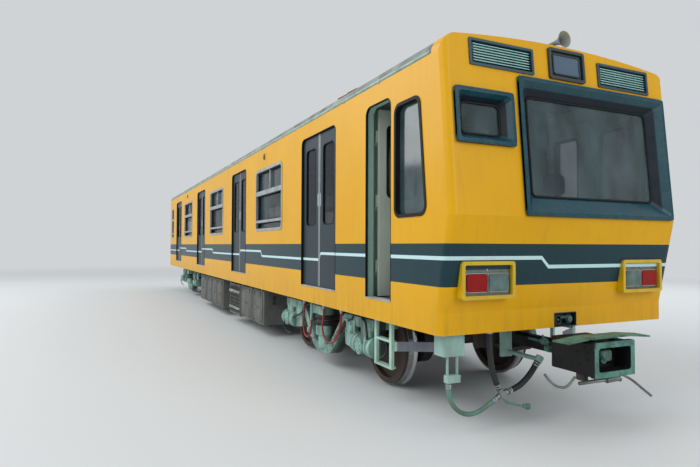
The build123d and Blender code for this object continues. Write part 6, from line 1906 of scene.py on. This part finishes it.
@dataclass
class CabDress(Dress):
    """Instruments, switches and the master lever on the desk, and a lamp over it."""

    desk_z: float = 1.706
    lever_y: float = 0.860
    gauge: Pairs = ((0, 0.060), (0.010, 0.060), (0.012, 0.054), (0.004, 0.050), (0.004, 0.0))
    collar: Pairs = ((0, 0.014), (0.003, 0.014), (0.003, 0.0))
    knob: Pairs = ((0, 0.012), (0.010, 0.022), (0.030, 0.024), (0.042, 0.016), (0.046, 0.0))
    lever_foot: Pairs = ((0, 0.060), (0.014, 0.060), (0.020, 0.052))

    def build(self) -> None:
        """Sets the desk out round the driver's place."""
        dark, bright, lamp = Shell(), Shell(), Shell()
        dark.box((8.085, 0.610, self.desk_z + 0.045), (0.080, 0.520, 0.090), 0.012, 2)
        dark.box((8.090, -0.100, self.desk_z + 0.030), (0.070, 0.360, 0.060), 0.010, 2)
        for y in (0.440, 0.610, 0.780):
            bright.turn(self.gauge, (8.044, y, self.desk_z + 0.062), (-1, 0, 0.25), 28)
        for number in range(8):
            y, z = -0.245 + number * 0.042, self.desk_z + 0.040
            dark.rod((8.054, y, z), (8.036, y, z), 0.009, 10)
            bright.turn(self.collar, (8.056, y, z), (-1, 0, 0), 12)
        dark.rod((8.010, self.lever_y, self.desk_z), (7.995, self.lever_y, self.desk_z + 0.120), 0.010)
        dark.turn(self.knob, (7.994, self.lever_y, self.desk_z + 0.110), (-0.12, 0, 1), 18)
        dark.turn(self.lever_foot, (8.010, self.lever_y, self.desk_z), UPWARD, 24)
        lamp.box((7.70, 0.0, 3.128), (0.24, 0.86, 0.040), 0.012, 2)
        self.put(dark, "desk_controls", "chassis_black", "desk_plastic")
        self.put(bright, "desk_gauges", "frame_alloy", "fitting_metal")
        self.put(lamp, "cab_ceiling_lamp", "lamp_diffuser", "inner_paint")


@dataclass
class SaloonDress(Dress):
    """Ceiling lights and seat pads of the saloon."""

    roof_inner: float = 3.196
    curve: float = 9.970
    light_y: float = 0.62
    benches: tuple[float, ...] = (3.595, -0.355, -4.305)

    def build(self) -> None:
        """Fits the saloon out; the lights hang from the roof's inner circle."""
        lights, pads = Shell(), Shell()
        z = self.roof_inner - self.curve + math.sqrt(self.curve**2 - self.light_y**2) - 0.030
        for side in Side:
            for x in np.arange(-7.2, 6.4, 1.36):
                lights.box(side.at(x, self.light_y, z), (1.200, 0.150, 0.045), 0.015, 2)
        for x, side, shift in product(self.benches, Side, (-0.5, 0.0, 0.5)):
            pads.box(side.at(x + shift, 0.985, FLOOR_Z + 0.437), (0.470, 0.400, 0.016), 0.007, 2)
            pads.box(side.at(x + shift, 1.132, FLOOR_Z + 0.650), (0.470, 0.018, 0.380), 0.008, 2)
        self.put(lights, "saloon_lights", "lamp_diffuser", "inner_paint")
        self.put(pads, "bench_pads", "seat_blue", "seat_plastic")


@dataclass
class FrontPipes(Dress):
    """Gland nuts, clamps and the tail of the air pipe under the front."""

    # Y and Z of a hose's end, its direction there, and the clamps' radius
    clamps: tuple[Place, ...] = (
        (-1.150, 0.436, 0.0, -1.0, 0.024),
        (-0.6617, 0.2597, -0.89, -0.46, 0.024),
        (-0.737, 0.846, 0.0, -1.0, 0.030),
        (-0.639, 0.3362, -0.5, 0.87, 0.030),
        (-0.5533, 0.2981, 0.97, 0.21, 0.030),
        (-0.2131, 0.5207, -0.62, -0.79, 0.030),
    )
    # X and Z of the red hoses' ends
    glands: Pairs = ((5.586, 0.800), (6.104, 0.800), (4.915, 0.800), (5.172, 0.612))
    gland: Pairs = ((0, 0.022), (0.020, 0.022), (0.024, 0.018), (0.040, 0.018), (0.042, 0.0135))
    # distance ahead of the hoses, Y and Z
    tail: tuple[Spot, ...] = (
        (0.006, -0.615, 0.262), (0.020, -0.560, 0.215), (0.030, -0.480, 0.190), (0.036, -0.405, 0.172),
    )
    coupling: Pairs = ((0, 0.012), (0.006, 0.020), (0.034, 0.020), (0.038, 0.027), (0.060, 0.027), (0.064, 0.018))

    def build(self) -> None:
        """Adds clamps at each hose end, glands at the red hoses and the tail with its coupling."""
        steel, tail = Shell(), Shell()
        for y, z, dy, dz, radius in self.clamps:
            place, way = vec(HOSE_X, y, z), unit(vec(0.0, dy, dz))
            band = [(0, radius - 0.003), (0.001, radius), (0.009, radius), (0.010, radius - 0.003)]
            for reach in (0.012, 0.034):
                steel.turn(band, place + way * reach, way, 20)
            steel.box(place + way * 0.022 + vec(radius + 0.002, 0, 0), (0.010, 0.014, 0.022), 0.002)
        for x, z in self.glands:
            steel.turn(self.gland, (x, -1.183, z), (0, 0, -1), 6)
        tail.pipe([(HOSE_X + ahead, y, z) for ahead, y, z in self.tail], 0.009, 10, AHEAD)
        tail.turn(self.coupling, (HOSE_X + 0.036, -0.410, 0.173), (0.08, 1.0, -0.2), 16)
        self.put(steel, "hose_clamps", "frame_alloy", "fitting_metal")
        self.put(tail, "air_pipe_tail", "hose_green", "fitting_metal")


def main() -> None:
    """Builds the car's looks, sub-assembly by sub-assembly."""
    logging.basicConfig(level=logging.INFO, format="%(name)s: %(message)s")
    Studio().build()
    finishes = Finishes()
    for finish, nodes in NODE_FINISHES.items():
        for node in nodes.split():
            finishes.dress(node, finish)
            LOG.info("%s wears %s", node, finish)
    for piece in (
        Hoses, DoorDress, SideWindowDress, FrontDress, BogieDress, UnderfloorDress, CouplerDress, RoofDress,
        EndDress, SeatDress, BodyTrim, CabDoorDress, CabDress, SaloonDress, FrontPipes,
    ):
        piece(finishes).build()


if __name__ == "__main__":
    main()
